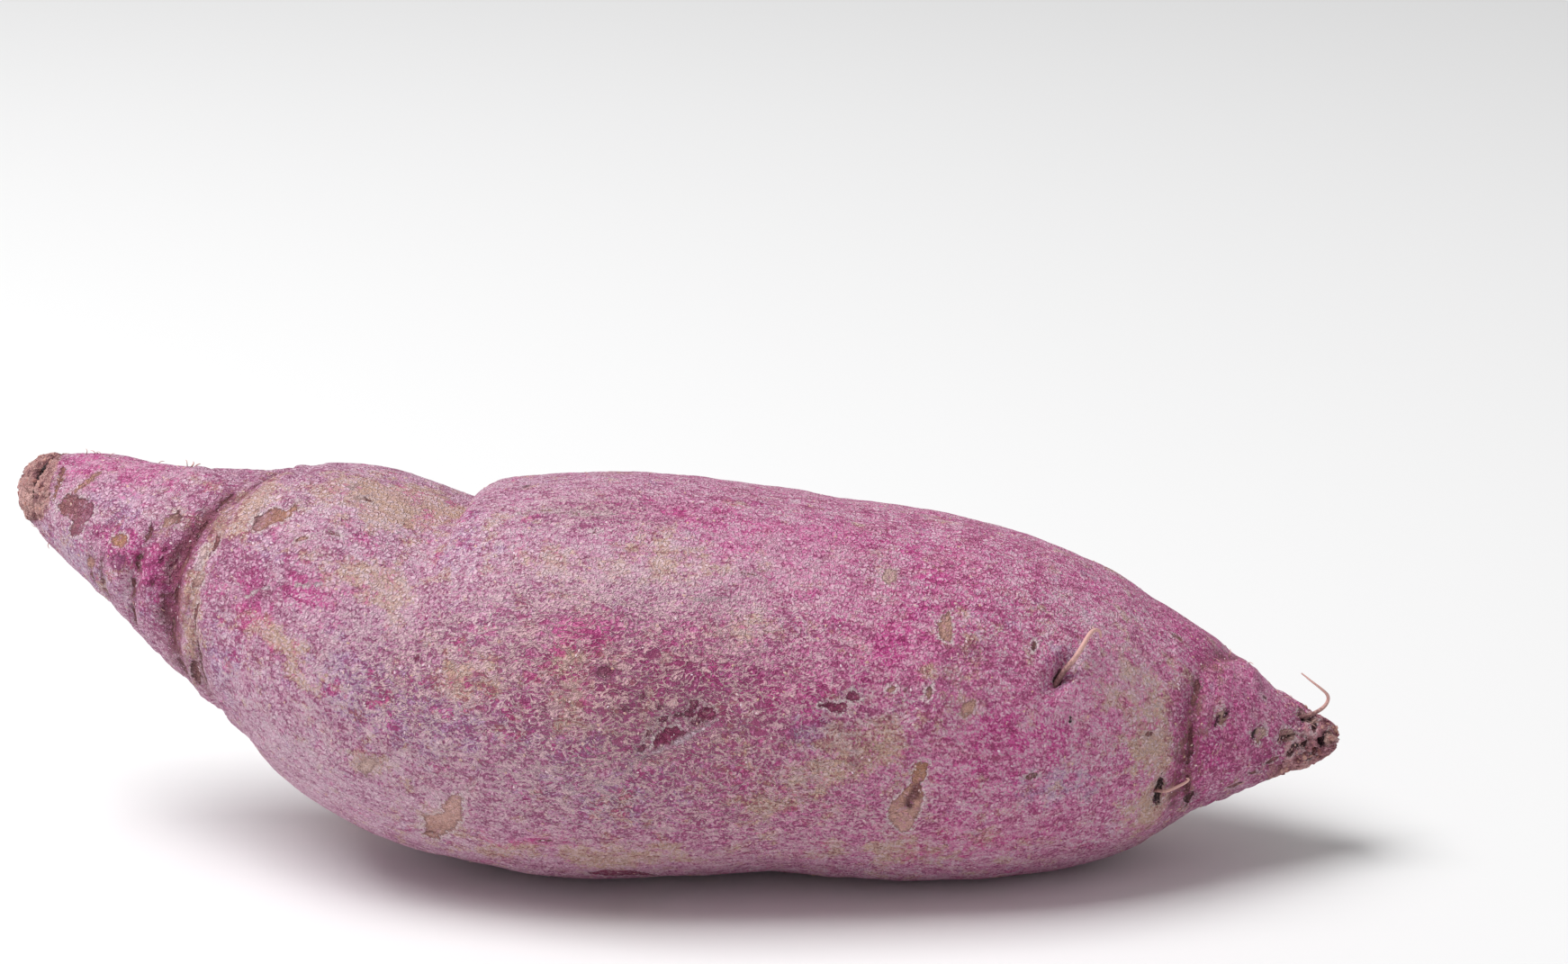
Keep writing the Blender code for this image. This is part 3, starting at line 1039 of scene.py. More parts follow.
    def with_scars(
        self, graph: Graph, colour: Wire, body: Wire, grain: Wire, crumb: Wire
    ) -> tuple[Wire, Wire]:
        """Scars with ragged edges, and the broken pale lips round them.

        Args:
            graph: the material's graph.
            colour: the colour so far.
            body: the place in millimetres.
            grain: the finest noise.
            crumb: where a bright crumb lies.

        Returns:
            How far each point lies outside the nearest scar, and the colour with the scars over it.
        """
        wander = (graph.noise(body, self.scar_wander_size, 5.0, 0.75) - 0.5) * 2.1
        gap = graph.named("scar_gap") + wander
        fibre = graph.noise(body, self.scar_fibre_size, 4.0, 0.7) - 0.5
        own = graph.named("scar", "Color")
        shade = graph.stretched(own, self.scar_shade)
        streaky = fibre * 1.7 + grain * 0.5
        scar = graph.mixed(streaky.step(0.04, 0.28) * 0.6, own, shade)
        scar = graph.mixed(streaky.step(-0.08, -0.3) * 0.5, scar, Tone.BEIGE)
        through = graph.noise(body, self.scar_gap_size, 3.0, 0.65, seed=12.0) - 0.5
        scar = graph.mixed((through + grain * 0.3).step(0.0, 0.16) * 0.6, scar, colour)
        scar = graph.mixed(gap.step(-0.3, -0.02) * 0.6, scar, shade)
        scar = graph.mixed(crumb * 0.7, scar, Tone.LIP)
        broken = (fibre * 4.0 + grain * 3.0 + 0.5).step(0.0, 1.0)
        rim = gap.step(0.65, 0.2) * graph.named("scar_rim") * broken
        colour = graph.mixed(gap.step(0.9, 0.3) * broken * 0.25, colour, shade)
        colour = graph.mixed(rim * 0.9, colour, Tone.LIP)
        return gap, graph.mixed(gap.step(0.1, -0.06), colour, scar)


@dataclass(frozen=True)
class RootletFinish(Finish):
    """Dry rootlet: tan-pink along it, dark where it leaves the skin."""

    name: str = "dry_rootlet"
    band_size: float = 0.35
    bump_size: float = 0.2

    def surface(self, graph: Graph) -> dict[str, Any]:
        """Colour from dark at the foot to pale at the tip, with fine bands across.

        Args:
            graph: the material's graph.

        Returns:
            What the shader's sockets get.
        """
        body = object_mm(graph)
        grain = graph.noise(body, self.band_size, 3.0, 0.6)
        reach = (graph.named("reach") + (grain - 0.5) * 0.6).step(0.1, 0.55)
        colour = graph.mixed(reach, Tone.UMBER, Tone.SAND)
        colour = graph.mixed(grain.step(0.55, 0.75) * 0.5, colour, Tone.BARK)
        normal = self.bumped(graph, graph.noise(body, self.bump_size))
        return {"Base Color": colour, "Roughness": self.roughness, "Normal": normal}


@dataclass(frozen=True)
class ChipFinish(Finish):
    """Loose chips of skin and cork, each a little different from the next."""

    name: str = "loose_chips"
    light: Tone = Tone.PALE
    dark: Tone = Tone.TAN
    tone_size: float = 1.3
    grain_size: float = 0.2
    roughness: float = 0.75
    bump: float = 0.06

    def surface(self, graph: Graph) -> dict[str, Any]:
        """Two tones by place, or those of bark where the skin is corky, with a fine grain.

        Args:
            graph: the material's graph.

        Returns:
            What the shader's sockets get.
        """
        body = object_mm(graph)
        tone = graph.noise(body, self.tone_size)
        grain = graph.noise(body, self.grain_size)
        colour = graph.mixed(tone.step(0.35, 0.65), self.light, self.dark)
        bark = graph.mixed(tone.step(0.4, 0.6), Tone.BARK, Tone.CORK)
        colour = graph.mixed(graph.named("corky"), colour, bark)
        normal = self.bumped(graph, grain)
        return {"Base Color": colour, "Roughness": self.roughness, "Normal": normal}


@dataclass(frozen=True)
class FloorFinish(Finish):
    """Plain pale floor."""

    name: str = "pale_floor"
    grey: float = 0.9
    roughness: float = 0.85
    drift_size: float = 400.0

    def surface(self, graph: Graph) -> dict[str, Any]:
        """A matt, nearly white surface, with the faintest change over it.

        Args:
            graph: the material's graph.

        Returns:
            What the shader's sockets get.
        """
        drift = graph.noise(object_mm(graph), self.drift_size, 1.0)
        pale = (self.grey, self.grey, self.grey * 1.005, 1.0)
        shade = (self.grey * 0.99, self.grey * 0.99, self.grey * 0.99, 1.0)
        return {"Base Color": graph.mixed(drift, pale, shade), "Roughness": self.roughness}


@dataclass
class Scars:
    """Every scar, bare spot and pit of the skin, from the photograph, and those of the back."""

    form: RootForm
    patches: tuple = (
        Patch(((10.2, 18), (11, 32), (13.4, 36), (15.3, 34), (16.1, 28), (15.5, 18), (15.3, 6),
               (13.8, 0), (13.2, 14), (11.2, 13)), 0, 0.7, 0.2, Tone.BARK, Tone.FLESH),
        Patch(((19.7, 17), (20.7, 22), (21.9, 24), (22.5, 20), (21.9, 15), (20.5, 14)),
               0, 0.8, 0.1, Tone.ORANGE),
        Patch(((38.4, 48), (38.4, 55), (39.4, 60), (40.6, 60), (42, 58), (41.8, 54), (41, 51),
               (40, 47)), 0, 0.9, 0.15, Tone.ASH, Tone.ORANGE),
        Patch(((33.9, 22), (33.3, 30), (33.3, 36), (33.9, 36), (34.5, 24)),
               90, 0.9, -0.3, Tone.PALE, Tone.BEIGE),
        Patch(((34.1, 14), (33.9, 20), (35.3, 22), (35.5, 17)),
               90, 0.9, -0.25, Tone.BARK, Tone.BEIGE),
        Patch(((35.3, -24), (36, -24), (36.6, -32), (36.5, -40), (35.9, -40), (35.4, -32)),
               0, 0.3, 0.5, Tone.UMBER, Tone.BARK),
        Patch(((115.8, 56), (116.2, 60), (117.2, 60), (117.4, 57), (117, 53), (116.2, 54)),
               0, 0.6, 0, Tone.BEIGE),
        Patch(((122.3, 41), (122.7, 45), (123.5, 46), (124.1, 42), (123.9, 37), (122.9, 38)),
               90, 1, 0.05, Tone.OLIVE, Tone.CORK),
        Patch(((90, 1), (90.6, 4), (91.6, 6), (92.9, 7), (93.7, 6), (93.1, 4), (91.9, 1),
               (90.9, 0)), 0, 1, 0.15, Tone.RAW),
        Patch(((109.7, 15), (110.7, 16), (111.5, 16), (112.7, 16), (113.1, 14), (111.7, 13),
               (110.7, 14)), 0, 1, 0.25, Tone.RAW),
        Patch(((112.7, 17), (112.9, 19), (113.4, 20), (114.4, 19), (114.4, 17), (113.6, 17)),
               0, 1, 0.25, Tone.RAW),
        Patch(((64.9, -31), (65.3, -37), (64.9, -42), (66.1, -43), (67.1, -38), (68.1, -32),
               (69, -26), (69.2, -19), (68.8, -17), (67.9, -20), (66.9, -23), (67.3, -26),
               (65.9, -30)), 60, 0.9, 0.2, Tone.CORK, Tone.SAND),
        Patch(((121.9, 0), (123.1, 0), (123.1, -4), (122.7, -8), (123.3, -13), (122.9, -18),
               (122.7, -23), (121.5, -26), (119.6, -21), (119.4, -16), (120.4, -12), (121.5, -8),
               (121.5, -2)), 90, 1, 0.25, Tone.SAND, Tone.ORANGE),
        Patch(((58.8, -18), (59.4, -12), (60.5, -14), (59.8, -21)), 0, 0, 0, Tone.BEIGE),
        # The next two patches fill pits with near-black painted shadow.
        Patch(((152.6, -25), (153, -14), (153.5, -7), (154, -16), (153.6, -25)),
               0, 0.5, 0.5, Tone.SHADOW_BLACK),
        Patch(((157.3, -38), (157.7, -26), (159.2, -28), (159.6, -40), (158.3, -45)),
               0, 0.4, 0.4, Tone.SHADOW_BLACK, Tone.UMBER),
        Patch(((82, -54), (84.4, -48), (88, -50), (91, -58), (86, -58)), 0, 0.6, 0.2, Tone.RAW),
        Patch(((70, 140), (73, 147), (78, 149), (81, 143), (76.5, 139)),
               0, 0.9, 0.2, Tone.BARK, Tone.SAND),
        Patch(((104, 176), (108, 181), (111, 178), (109.5, 172), (105.5, 171)),
               0, 1, 0.25, Tone.RAW),
        Patch(((140, 120), (141, 128), (144, 131), (144.6, 124), (142, 118)),
               90, 0.8, 0.15, Tone.ASH, Tone.ORANGE),
        Patch(((50, -150), (52.5, -141), (55, -146), (53, -156)),
               0, 0.8, 0.15, Tone.BARK, Tone.CORK),
    )
    # The near-black spots are painted shadow in pits and slits.
    spots: tuple = (
        Spot(18, -10, 1.2, 0.7, 70, 0.3, 0.1, Tone.OLIVE, Tone.BARK),
        Spot(22.3, 5, 1.3, 0.9, 70, 0, 0, Tone.PLUM),
        Spot(26.9, 44, 1.5, 0.9, 50, 0.4, 0.1, Tone.OLIVE, Tone.UMBER),
        Spot(46.3, 54, 0.4, 0.35, 0, 0.9, 0.1, Tone.BARK),
        Spot(73, 88, 0.4, 0.4, 0, 0.3, 0.1, Tone.UMBER),
        Spot(82.8, 63.5, 0.45, 0.3, 0, 1, 0.1, Tone.BARK),
        Spot(62.3, 22, 0.5, 0.4, 0, 0, 0, Tone.RAW),
        Spot(44.3, 47.5, 0.8, 0.25, 50, 0.6, 0.1, Tone.BARK, Tone.CORK),
        Spot(95, 13.5, 0.65, 0.6, 0, 0.4, 0.15, Tone.RAW),
        Spot(89, 0.5, 0.6, 0.4, 20, 0.6, 0.15, Tone.FLESH, Tone.RAW),
        Spot(89.6, 4.8, 0.55, 0.4, 50, 0.5, 0.1, Tone.FLESH, Tone.RAW),
        Spot(91.4, 9, 0.6, 0.45, 20, 0.6, 0.1, Tone.FLESH),
        Spot(93, 10.2, 0.7, 0.4, 10, 0.5, 0.15, Tone.RAW, Tone.FLESH),
        Spot(94.6, 10.4, 0.6, 0.5, 0, 0.5, 0.15, Tone.FLESH, Tone.RAW),
        Spot(95.2, 7.8, 0.6, 0.5, 40, 0.4, 0.1, Tone.FLESH),
        Spot(93.9, 4.9, 0.6, 0.35, 40, 0.6, 0.1, Tone.FLESH, Tone.RAW),
        Spot(91, 12.4, 0.5, 0.35, 10, 0.2, 0.1, Tone.FLESH),
        Spot(86.9, 11.5, 0.7, 0.35, 0, 0, 0.1, Tone.FLESH),
        Spot(96.6, 10.6, 1.1, 1, 0, 0.6, 0.2, Tone.RAW),
        Spot(84.6, 21.5, 1, 0.65, 10, 0, 0.1, Tone.FLESH, Tone.RAW),
        Spot(65.8, -40, 0.65, 0.5, 0, 0, 0.1, Tone.UMBER, Tone.BARK),
        Spot(122, -12, 2.3, 0.62, 78, 0, 0.15, Tone.UMBER, Tone.BARK),
        Spot(46.9, 74, 0.4, 0.35, 0, 0.6, 0.1, Tone.UMBER, Tone.BARK),
        Spot(88.9, 15, 0.4, 0.35, 0, 0, 0.1, Tone.RAW),
        Spot(117.7, 21, 0.55, 0.45, 60, 0.9, 0.1, Tone.OLIVE, Tone.BARK),
        Spot(121.9, 21, 0.9, 0.4, 80, 1, 0.1, Tone.OLIVE, Tone.UMBER),
        Spot(134.2, 40.5, 0.7, 0.35, 70, 1, 0.2, Tone.UMBER, Tone.BARK),
        Spot(138.1, 55, 0.3, 0.25, 0, 0.3, 0.1, Tone.UMBER),
        Spot(155.6, 66, 0.7, 0.3, -20, 0.4, 0.1, Tone.BARK, Tone.OLIVE),
        Spot(140.1, 18, 0.3, 0.3, 0, 0.3, 0.1, Tone.SHADOW_BLACK),
        Spot(151.3, 13, 0.5, 0.3, 0, 0.2, 0.1, Tone.BARK),
        Spot(136, -2, 0.9, 0.4, 10, 0.7, 0.1, Tone.BARK, Tone.UMBER),
        Spot(126.8, 18, 1.3, 0.7, 60, 0.2, 0, Tone.OLIVE),
        Spot(167, -26, 0.6, 0.3, 0, 0.4, 0.1, Tone.UMBER, Tone.BARK),
        Spot(77.9, -33, 0.8, 0.25, 5, 0, 0.1, Tone.UMBER, Tone.BARK),
        Spot(161.1, 24.5, 1.1, 0.8, 80, 1, 0.2, Tone.OLIVE, Tone.BEIGE),
        Spot(160.6, 22, 0.9, 0.34, 75, 0, 0.3, Tone.SHADOW_BLACK),
        Spot(161.6, 27, 0.8, 0.3, 70, 0, 0.3, Tone.SHADOW_BLACK),
        Spot(166.5, 16, 1.2, 0.95, 60, 1, 0.2, Tone.OLIVE, Tone.BEIGE),
        Spot(165.7, 15, 0.9, 0.36, 85, 0, 0.3, Tone.SHADOW_BLACK),
        Spot(170.6, 19, 1.4, 1, 30, 0.8, 0.2, Tone.BARK, Tone.BEIGE),
        Spot(170.3, 15, 1, 0.4, 20, 0, 0.3, Tone.SHADOW_BLACK),
        Spot(176.6, 32, 0.9, 0.7, 40, 0.9, -0.15, Tone.SAND, Tone.BEIGE),
        Spot(175.5, 22, 0.9, 0.36, 80, 0, 0.25, Tone.SHADOW_BLACK),
        Spot(173.3, 68, 1.3, 1.1, 0, 1, 0.2, Tone.ASH, Tone.BEIGE),
        Spot(172.7, 60, 0.9, 0.36, 80, 0, 0.3, Tone.SHADOW_BLACK),
        Spot(173.9, 72, 0.8, 0.34, 60, 0, 0.3, Tone.SHADOW_BLACK),
        Spot(166.9, 54, 0.3, 0.3, 0, 0.3, 0.1, Tone.UMBER),
        Spot(165, -38, 1, 0.5, 10, 0.5, 0.2, Tone.BARK, Tone.UMBER),
        Spot(169, -14, 0.9, 0.4, 30, 0.7, 0.2, Tone.UMBER, Tone.BARK),
        Spot(171.6, -2, 0.8, 0.45, 60, 0.6, 0.25, Tone.UMBER, Tone.SHADOW_BLACK),
        Spot(173.2, 8, 0.8, 0.35, 80, 0.6, 0.25, Tone.SHADOW_BLACK, Tone.UMBER),
        Spot(174.2, 44, 0.8, 0.4, 80, 0.7, 0.25, Tone.UMBER, Tone.SHADOW_BLACK),
        Spot(174.6, -20, 0.7, 0.4, 60, 0.6, 0.2, Tone.UMBER, Tone.BARK),
        Spot(138, 31.5, 1.5, 0.55, 70, 0.2, 0.3, Tone.SHADOW_BLACK, Tone.UMBER),
    )
    strokes: tuple = (
        # The first strokes, dark along the creases, are partly their own brown, partly painted
        # shade.
        Stroke(((32.6, 70), (32, 63), (31.7, 56)), 0.42, 0, 0.3, Tone.CREASE, Tone.BARK),
        Stroke(((31.5, 50), (31.2, 44), (31.4, 38)), 0.42, 0, 0.3, Tone.CREASE),
        Stroke(((31.1, 33), (31.5, 26), (31.5, 19)), 0.42, 0, 0.3, Tone.CREASE, Tone.BARK),
        Stroke(((31.8, 12), (31.5, 5), (31.6, -2)), 0.42, 0, 0.3, Tone.CREASE),
        Stroke(((32, -9), (32.3, -17), (32.9, -26)), 0.42, 0, 0.3, Tone.UMBER, Tone.BARK),
        Stroke(((33.1, -34), (33.5, -42), (33.9, -50)), 0.42, 0, 0.3, Tone.CREASE, Tone.BARK),
        Stroke(((24.4, 36), (24.9, 31), (24.8, 26)), 0.4, 0, 0.25, Tone.CREASE, Tone.BARK),
        Stroke(((25, 18), (24.6, 12), (24.8, 5)), 0.4, 0, 0.25, Tone.UMBER, Tone.CREASE),
        Stroke(((24.9, -2), (25.3, -9), (25.2, -16)), 0.4, 0, 0.25, Tone.CREASE, Tone.BARK),
        Stroke(((25.4, -23), (25.8, -30), (26.2, -37)), 0.4, 0, 0.25, Tone.CREASE, Tone.BARK),
        Stroke(((28.4, 30), (27.9, 24), (28.1, 18)), 0.2, 0, 0.2, Tone.WINE),
        Stroke(((28.2, 9), (28, 3), (28.4, -3)), 0.22, 0, 0.2, Tone.WINE, Tone.CREASE),
        Stroke(((29.8, 24), (29.4, 18), (29.7, 12)), 0.22, 0.2, 0.2, Tone.WINE, Tone.CREASE),
        Stroke(((29.6, 2), (30.1, -5), (29.9, -12)), 0.2, 0, 0.2, Tone.CREASE, Tone.WINE),
        Stroke(((34.6, 44), (35.2, 37), (34.9, 31)), 0.32, 0.6, 0.3, Tone.BARK, Tone.CREASE),
        Stroke(((35.8, 9), (35.6, 2), (36, -6)), 0.32, 0.6, 0.3, Tone.BARK, Tone.CREASE),
        Stroke(((26.6, 52), (27.8, 47), (28.3, 41)), 0.24, 0.6, 0.2, Tone.UMBER, Tone.BARK),
        Stroke(((25.7, 50), (26.3, 45), (27.3, 40)), 0.2, 0.6, 0.2, Tone.BARK, Tone.CORK),
        Stroke(((17.6, 2), (18, -12), (18.9, -26)), 0.25, 0.2, 0.2, Tone.ASH, Tone.BARK),
        Stroke(((19.6, 0), (20.2, -14), (21.4, -30)), 0.2, 0.2, 0.2, Tone.ASH, Tone.BARK),
        Stroke(((36.6, -6), (37, -24), (38.4, -42)), 0.3, 0.3, 0.3, Tone.CREASE, Tone.BARK),
        Stroke(((6.6, 62), (8.4, 40), (9.1, 22)), 0.35, 0.3, 0.25, Tone.BARK, Tone.ORANGE),
        Stroke(((11.6, 34), (12.3, 44), (12.9, 56), (13, 66)),
                0.3, 0.3, -0.05, Tone.ORANGE, Tone.CORK),
        Stroke(((41.9, 57), (42, 60), (42.1, 64)), 0.22, 0.5, 0, Tone.ORANGE, Tone.CORK),
        Stroke(((41.2, 19), (42.2, 22), (43.4, 26)), 0.26, 0, -0.2, Tone.LIP, Tone.PALE),
        Stroke(((45.9, 30), (46.9, 32), (47.7, 34)), 0.26, 0, -0.2, Tone.LIP, Tone.PALE),
        Stroke(((45.2, 75), (45.2, 78), (45.5, 81)), 0.28, 0, -0.25, Tone.LIP, Tone.BEIGE),
        Stroke(((46.1, 72), (46.6, 74), (46.9, 76)), 0.28, 0, -0.25, Tone.BEIGE, Tone.LIP),
        Stroke(((73.2, 71.5), (76.7, 72.5), (80.1, 70.5), (84.4, 70.5)),
                0.15, 0.5, 0.15, Tone.CORK, Tone.BEIGE),
        Stroke(((100, 52), (101.6, 52.5), (103.4, 50)), 0.14, 0.2, 0.1, Tone.BARK),
        Stroke(((93.9, 42), (96.5, 43), (99.4, 44)), 0.22, 0, -0.15, Tone.LIP, Tone.PALE),
        Stroke(((87.4, -5), (90, -1), (93.1, 2), (95.7, 6), (97.4, 8)), 0.3, 0, -0.15, Tone.PALE),
        Stroke(((119, 21.5), (119.7, 21)), 0.2, 0.3, 0.1, Tone.BARK),
        Stroke(((157.9, 46), (157.5, 36), (157.4, 28)), 0.42, 0, 0.1, Tone.CREASE, Tone.BARK),
        Stroke(((157.1, 16), (157.4, 4), (157.2, -8)), 0.42, 0, 0.1, Tone.CREASE),
        Stroke(((157.3, -14), (157.7, -22), (157.5, -30)), 0.42, 0, 0.15, Tone.CREASE),
        Stroke(((149, 168), (150.2, 182), (149.4, 200)), 0.3, 0.2, 0.3, Tone.CREASE, Tone.BARK),
        Stroke(((84, 150), (90, 155), (97, 153)), 0.2, 0, -0.1, Tone.PALE, Tone.BEIGE),
    )
    hidden_seed: int = 23
    hidden: int = 26
    far_away: float = 4.0
    out_of_reach: float = 1e9
    stroke_end: float = 0.35

    def hidden_spots(self) -> Iterator[Spot]:
        """Draws small scars for the back and the belly, like those of the front.

        Returns:
            Each spot in turn.
        """
        draw = random.Random(self.hidden_seed)
        tones = (Tone.OLIVE, Tone.BARK, Tone.UMBER, Tone.BEIGE, Tone.RAW, Tone.CORK)
        for _ in range(self.hidden):
            size = draw.uniform(0.35, 1.1)
            yield Spot(
                draw.uniform(14, 170), draw.uniform(108, 290), size,
                size * draw.uniform(0.4, 0.9), draw.uniform(0, 180), near=draw.choice(tones),
                far=draw.choice(tones), rim=draw.uniform(0.3, 1.0), deep=draw.uniform(0.05, 0.2),
            )

    def gap_to_spot(self, spot: Spot, along: Array, around: Array) -> Pair:
        """How far points lie outside a spot's edge.

        Args:
            spot: the spot.
            along, around: where the points are on the skin.

        Returns:
            The gaps in millimetres, and how far along its length they are, from 0 to 1.
        """
        u, v = self.form.oval_reach(spot, along, around)
        size = math.sqrt(spot.half_long * spot.half_wide)
        return (np.hypot(u, v) - 1) * size, np.clip(u / 2 + 0.5, 0, 1)

    def gap_to_patch(self, patch: Patch, along: Array, around: Array) -> Pair:
        """How far points lie outside a patch's outline.

        Args:
            patch: the patch.
            along, around: where the points are on the skin.

        Returns:
            The gaps in millimetres, and how far along its lean they are, from 0 to 1.
        """
        points, corners = self.form.laid_flat(patch.outline, along, around)
        nearest = np.full(along.shape, self.out_of_reach)
        inside = np.zeros(along.shape, bool)
        for start, end in zip(corners, np.roll(corners, -1, axis=0)):
            nearest = np.minimum(nearest, from_side(points, start, end)[0])
            rising = (start[1] > points[..., 1]) != (end[1] > points[..., 1])
            side = end - start
            with np.errstate(divide="ignore", invalid="ignore"):
                cross = start[0] + (points[..., 1] - start[1]) / side[1] * side[0]
            inside ^= rising & (points[..., 0] < cross)
        lean = math.radians(patch.lean)
        way = np.array([math.cos(lean), math.sin(lean)])
        spread = corners @ way
        share = (points @ way - spread.min()) / (spread.max() - spread.min())
        return np.where(inside, -nearest, nearest), np.clip(share, 0, 1)

    def gap_to_stroke(self, stroke: Stroke, along: Array, around: Array) -> Pair:
        """How far points lie outside a stroke.

        Args:
            stroke: the stroke.
            along, around: where the points are on the skin.

        Returns:
            The gaps in millimetres, and how far along its path they are, from 0 to 1.
        """
        points, corners = self.form.laid_flat(stroke.path, along, around)
        lengths = np.linalg.norm(np.diff(corners, axis=0), axis=1)
        passed = np.concatenate([[0.0], np.cumsum(lengths)]) / lengths.sum()
        nearest = np.full(along.shape, self.out_of_reach)
        reached = np.zeros(along.shape)
        for i in range(len(lengths)):
            distance, share = from_side(points, corners[i], corners[i + 1])
            here = passed[i] + share * (passed[i + 1] - passed[i])
            reached = np.where(distance < nearest, here, reached)
            nearest = np.minimum(nearest, distance)
        end = self.stroke_end
        width = stroke.half_wide * (end + (1 - end) * np.sin(np.pi * reached))
        return nearest - width, reached

    def fields(self, along: Array, around: Array) -> dict[str, Array]:
        """What the scars give each point of the skin.

        Args:
            along, around: where the points are on the skin.

        Returns:
            The gap to the nearest scar's edge, its colour, the paleness of its rim, and
            the relief of them all in millimetres.
        """
        gap = np.full(along.shape, self.far_away)
        colour = np.ones((*along.shape, 4))
        rim = np.zeros(along.shape)
        relief = np.zeros(along.shape)
        scars = [(patch, self.gap_to_patch) for patch in self.patches]
        scars += [(stroke, self.gap_to_stroke) for stroke in self.strokes]
        scars += [(spot, self.gap_to_spot) for spot in (*self.spots, *self.hidden_spots())]
        for scar, measure in scars:
            here, share = measure(scar, along, around)
            nearer = (here < gap) | (here < 0)
            near = np.array(scar.near.light)
            far = np.array((scar.far or scar.near).light)
            shade = near + (far - near) * share[..., None]
            gap = np.where(nearer, here, gap)
            colour = np.where(nearer[..., None], shade, colour)
            rim = np.where(nearer, scar.rim, rim)
            relief -= scar.deep * smooth(-here, -0.3, 0.4)
        return {"scar_gap": gap, "scar": colour, "scar_rim": rim, "relief": relief}


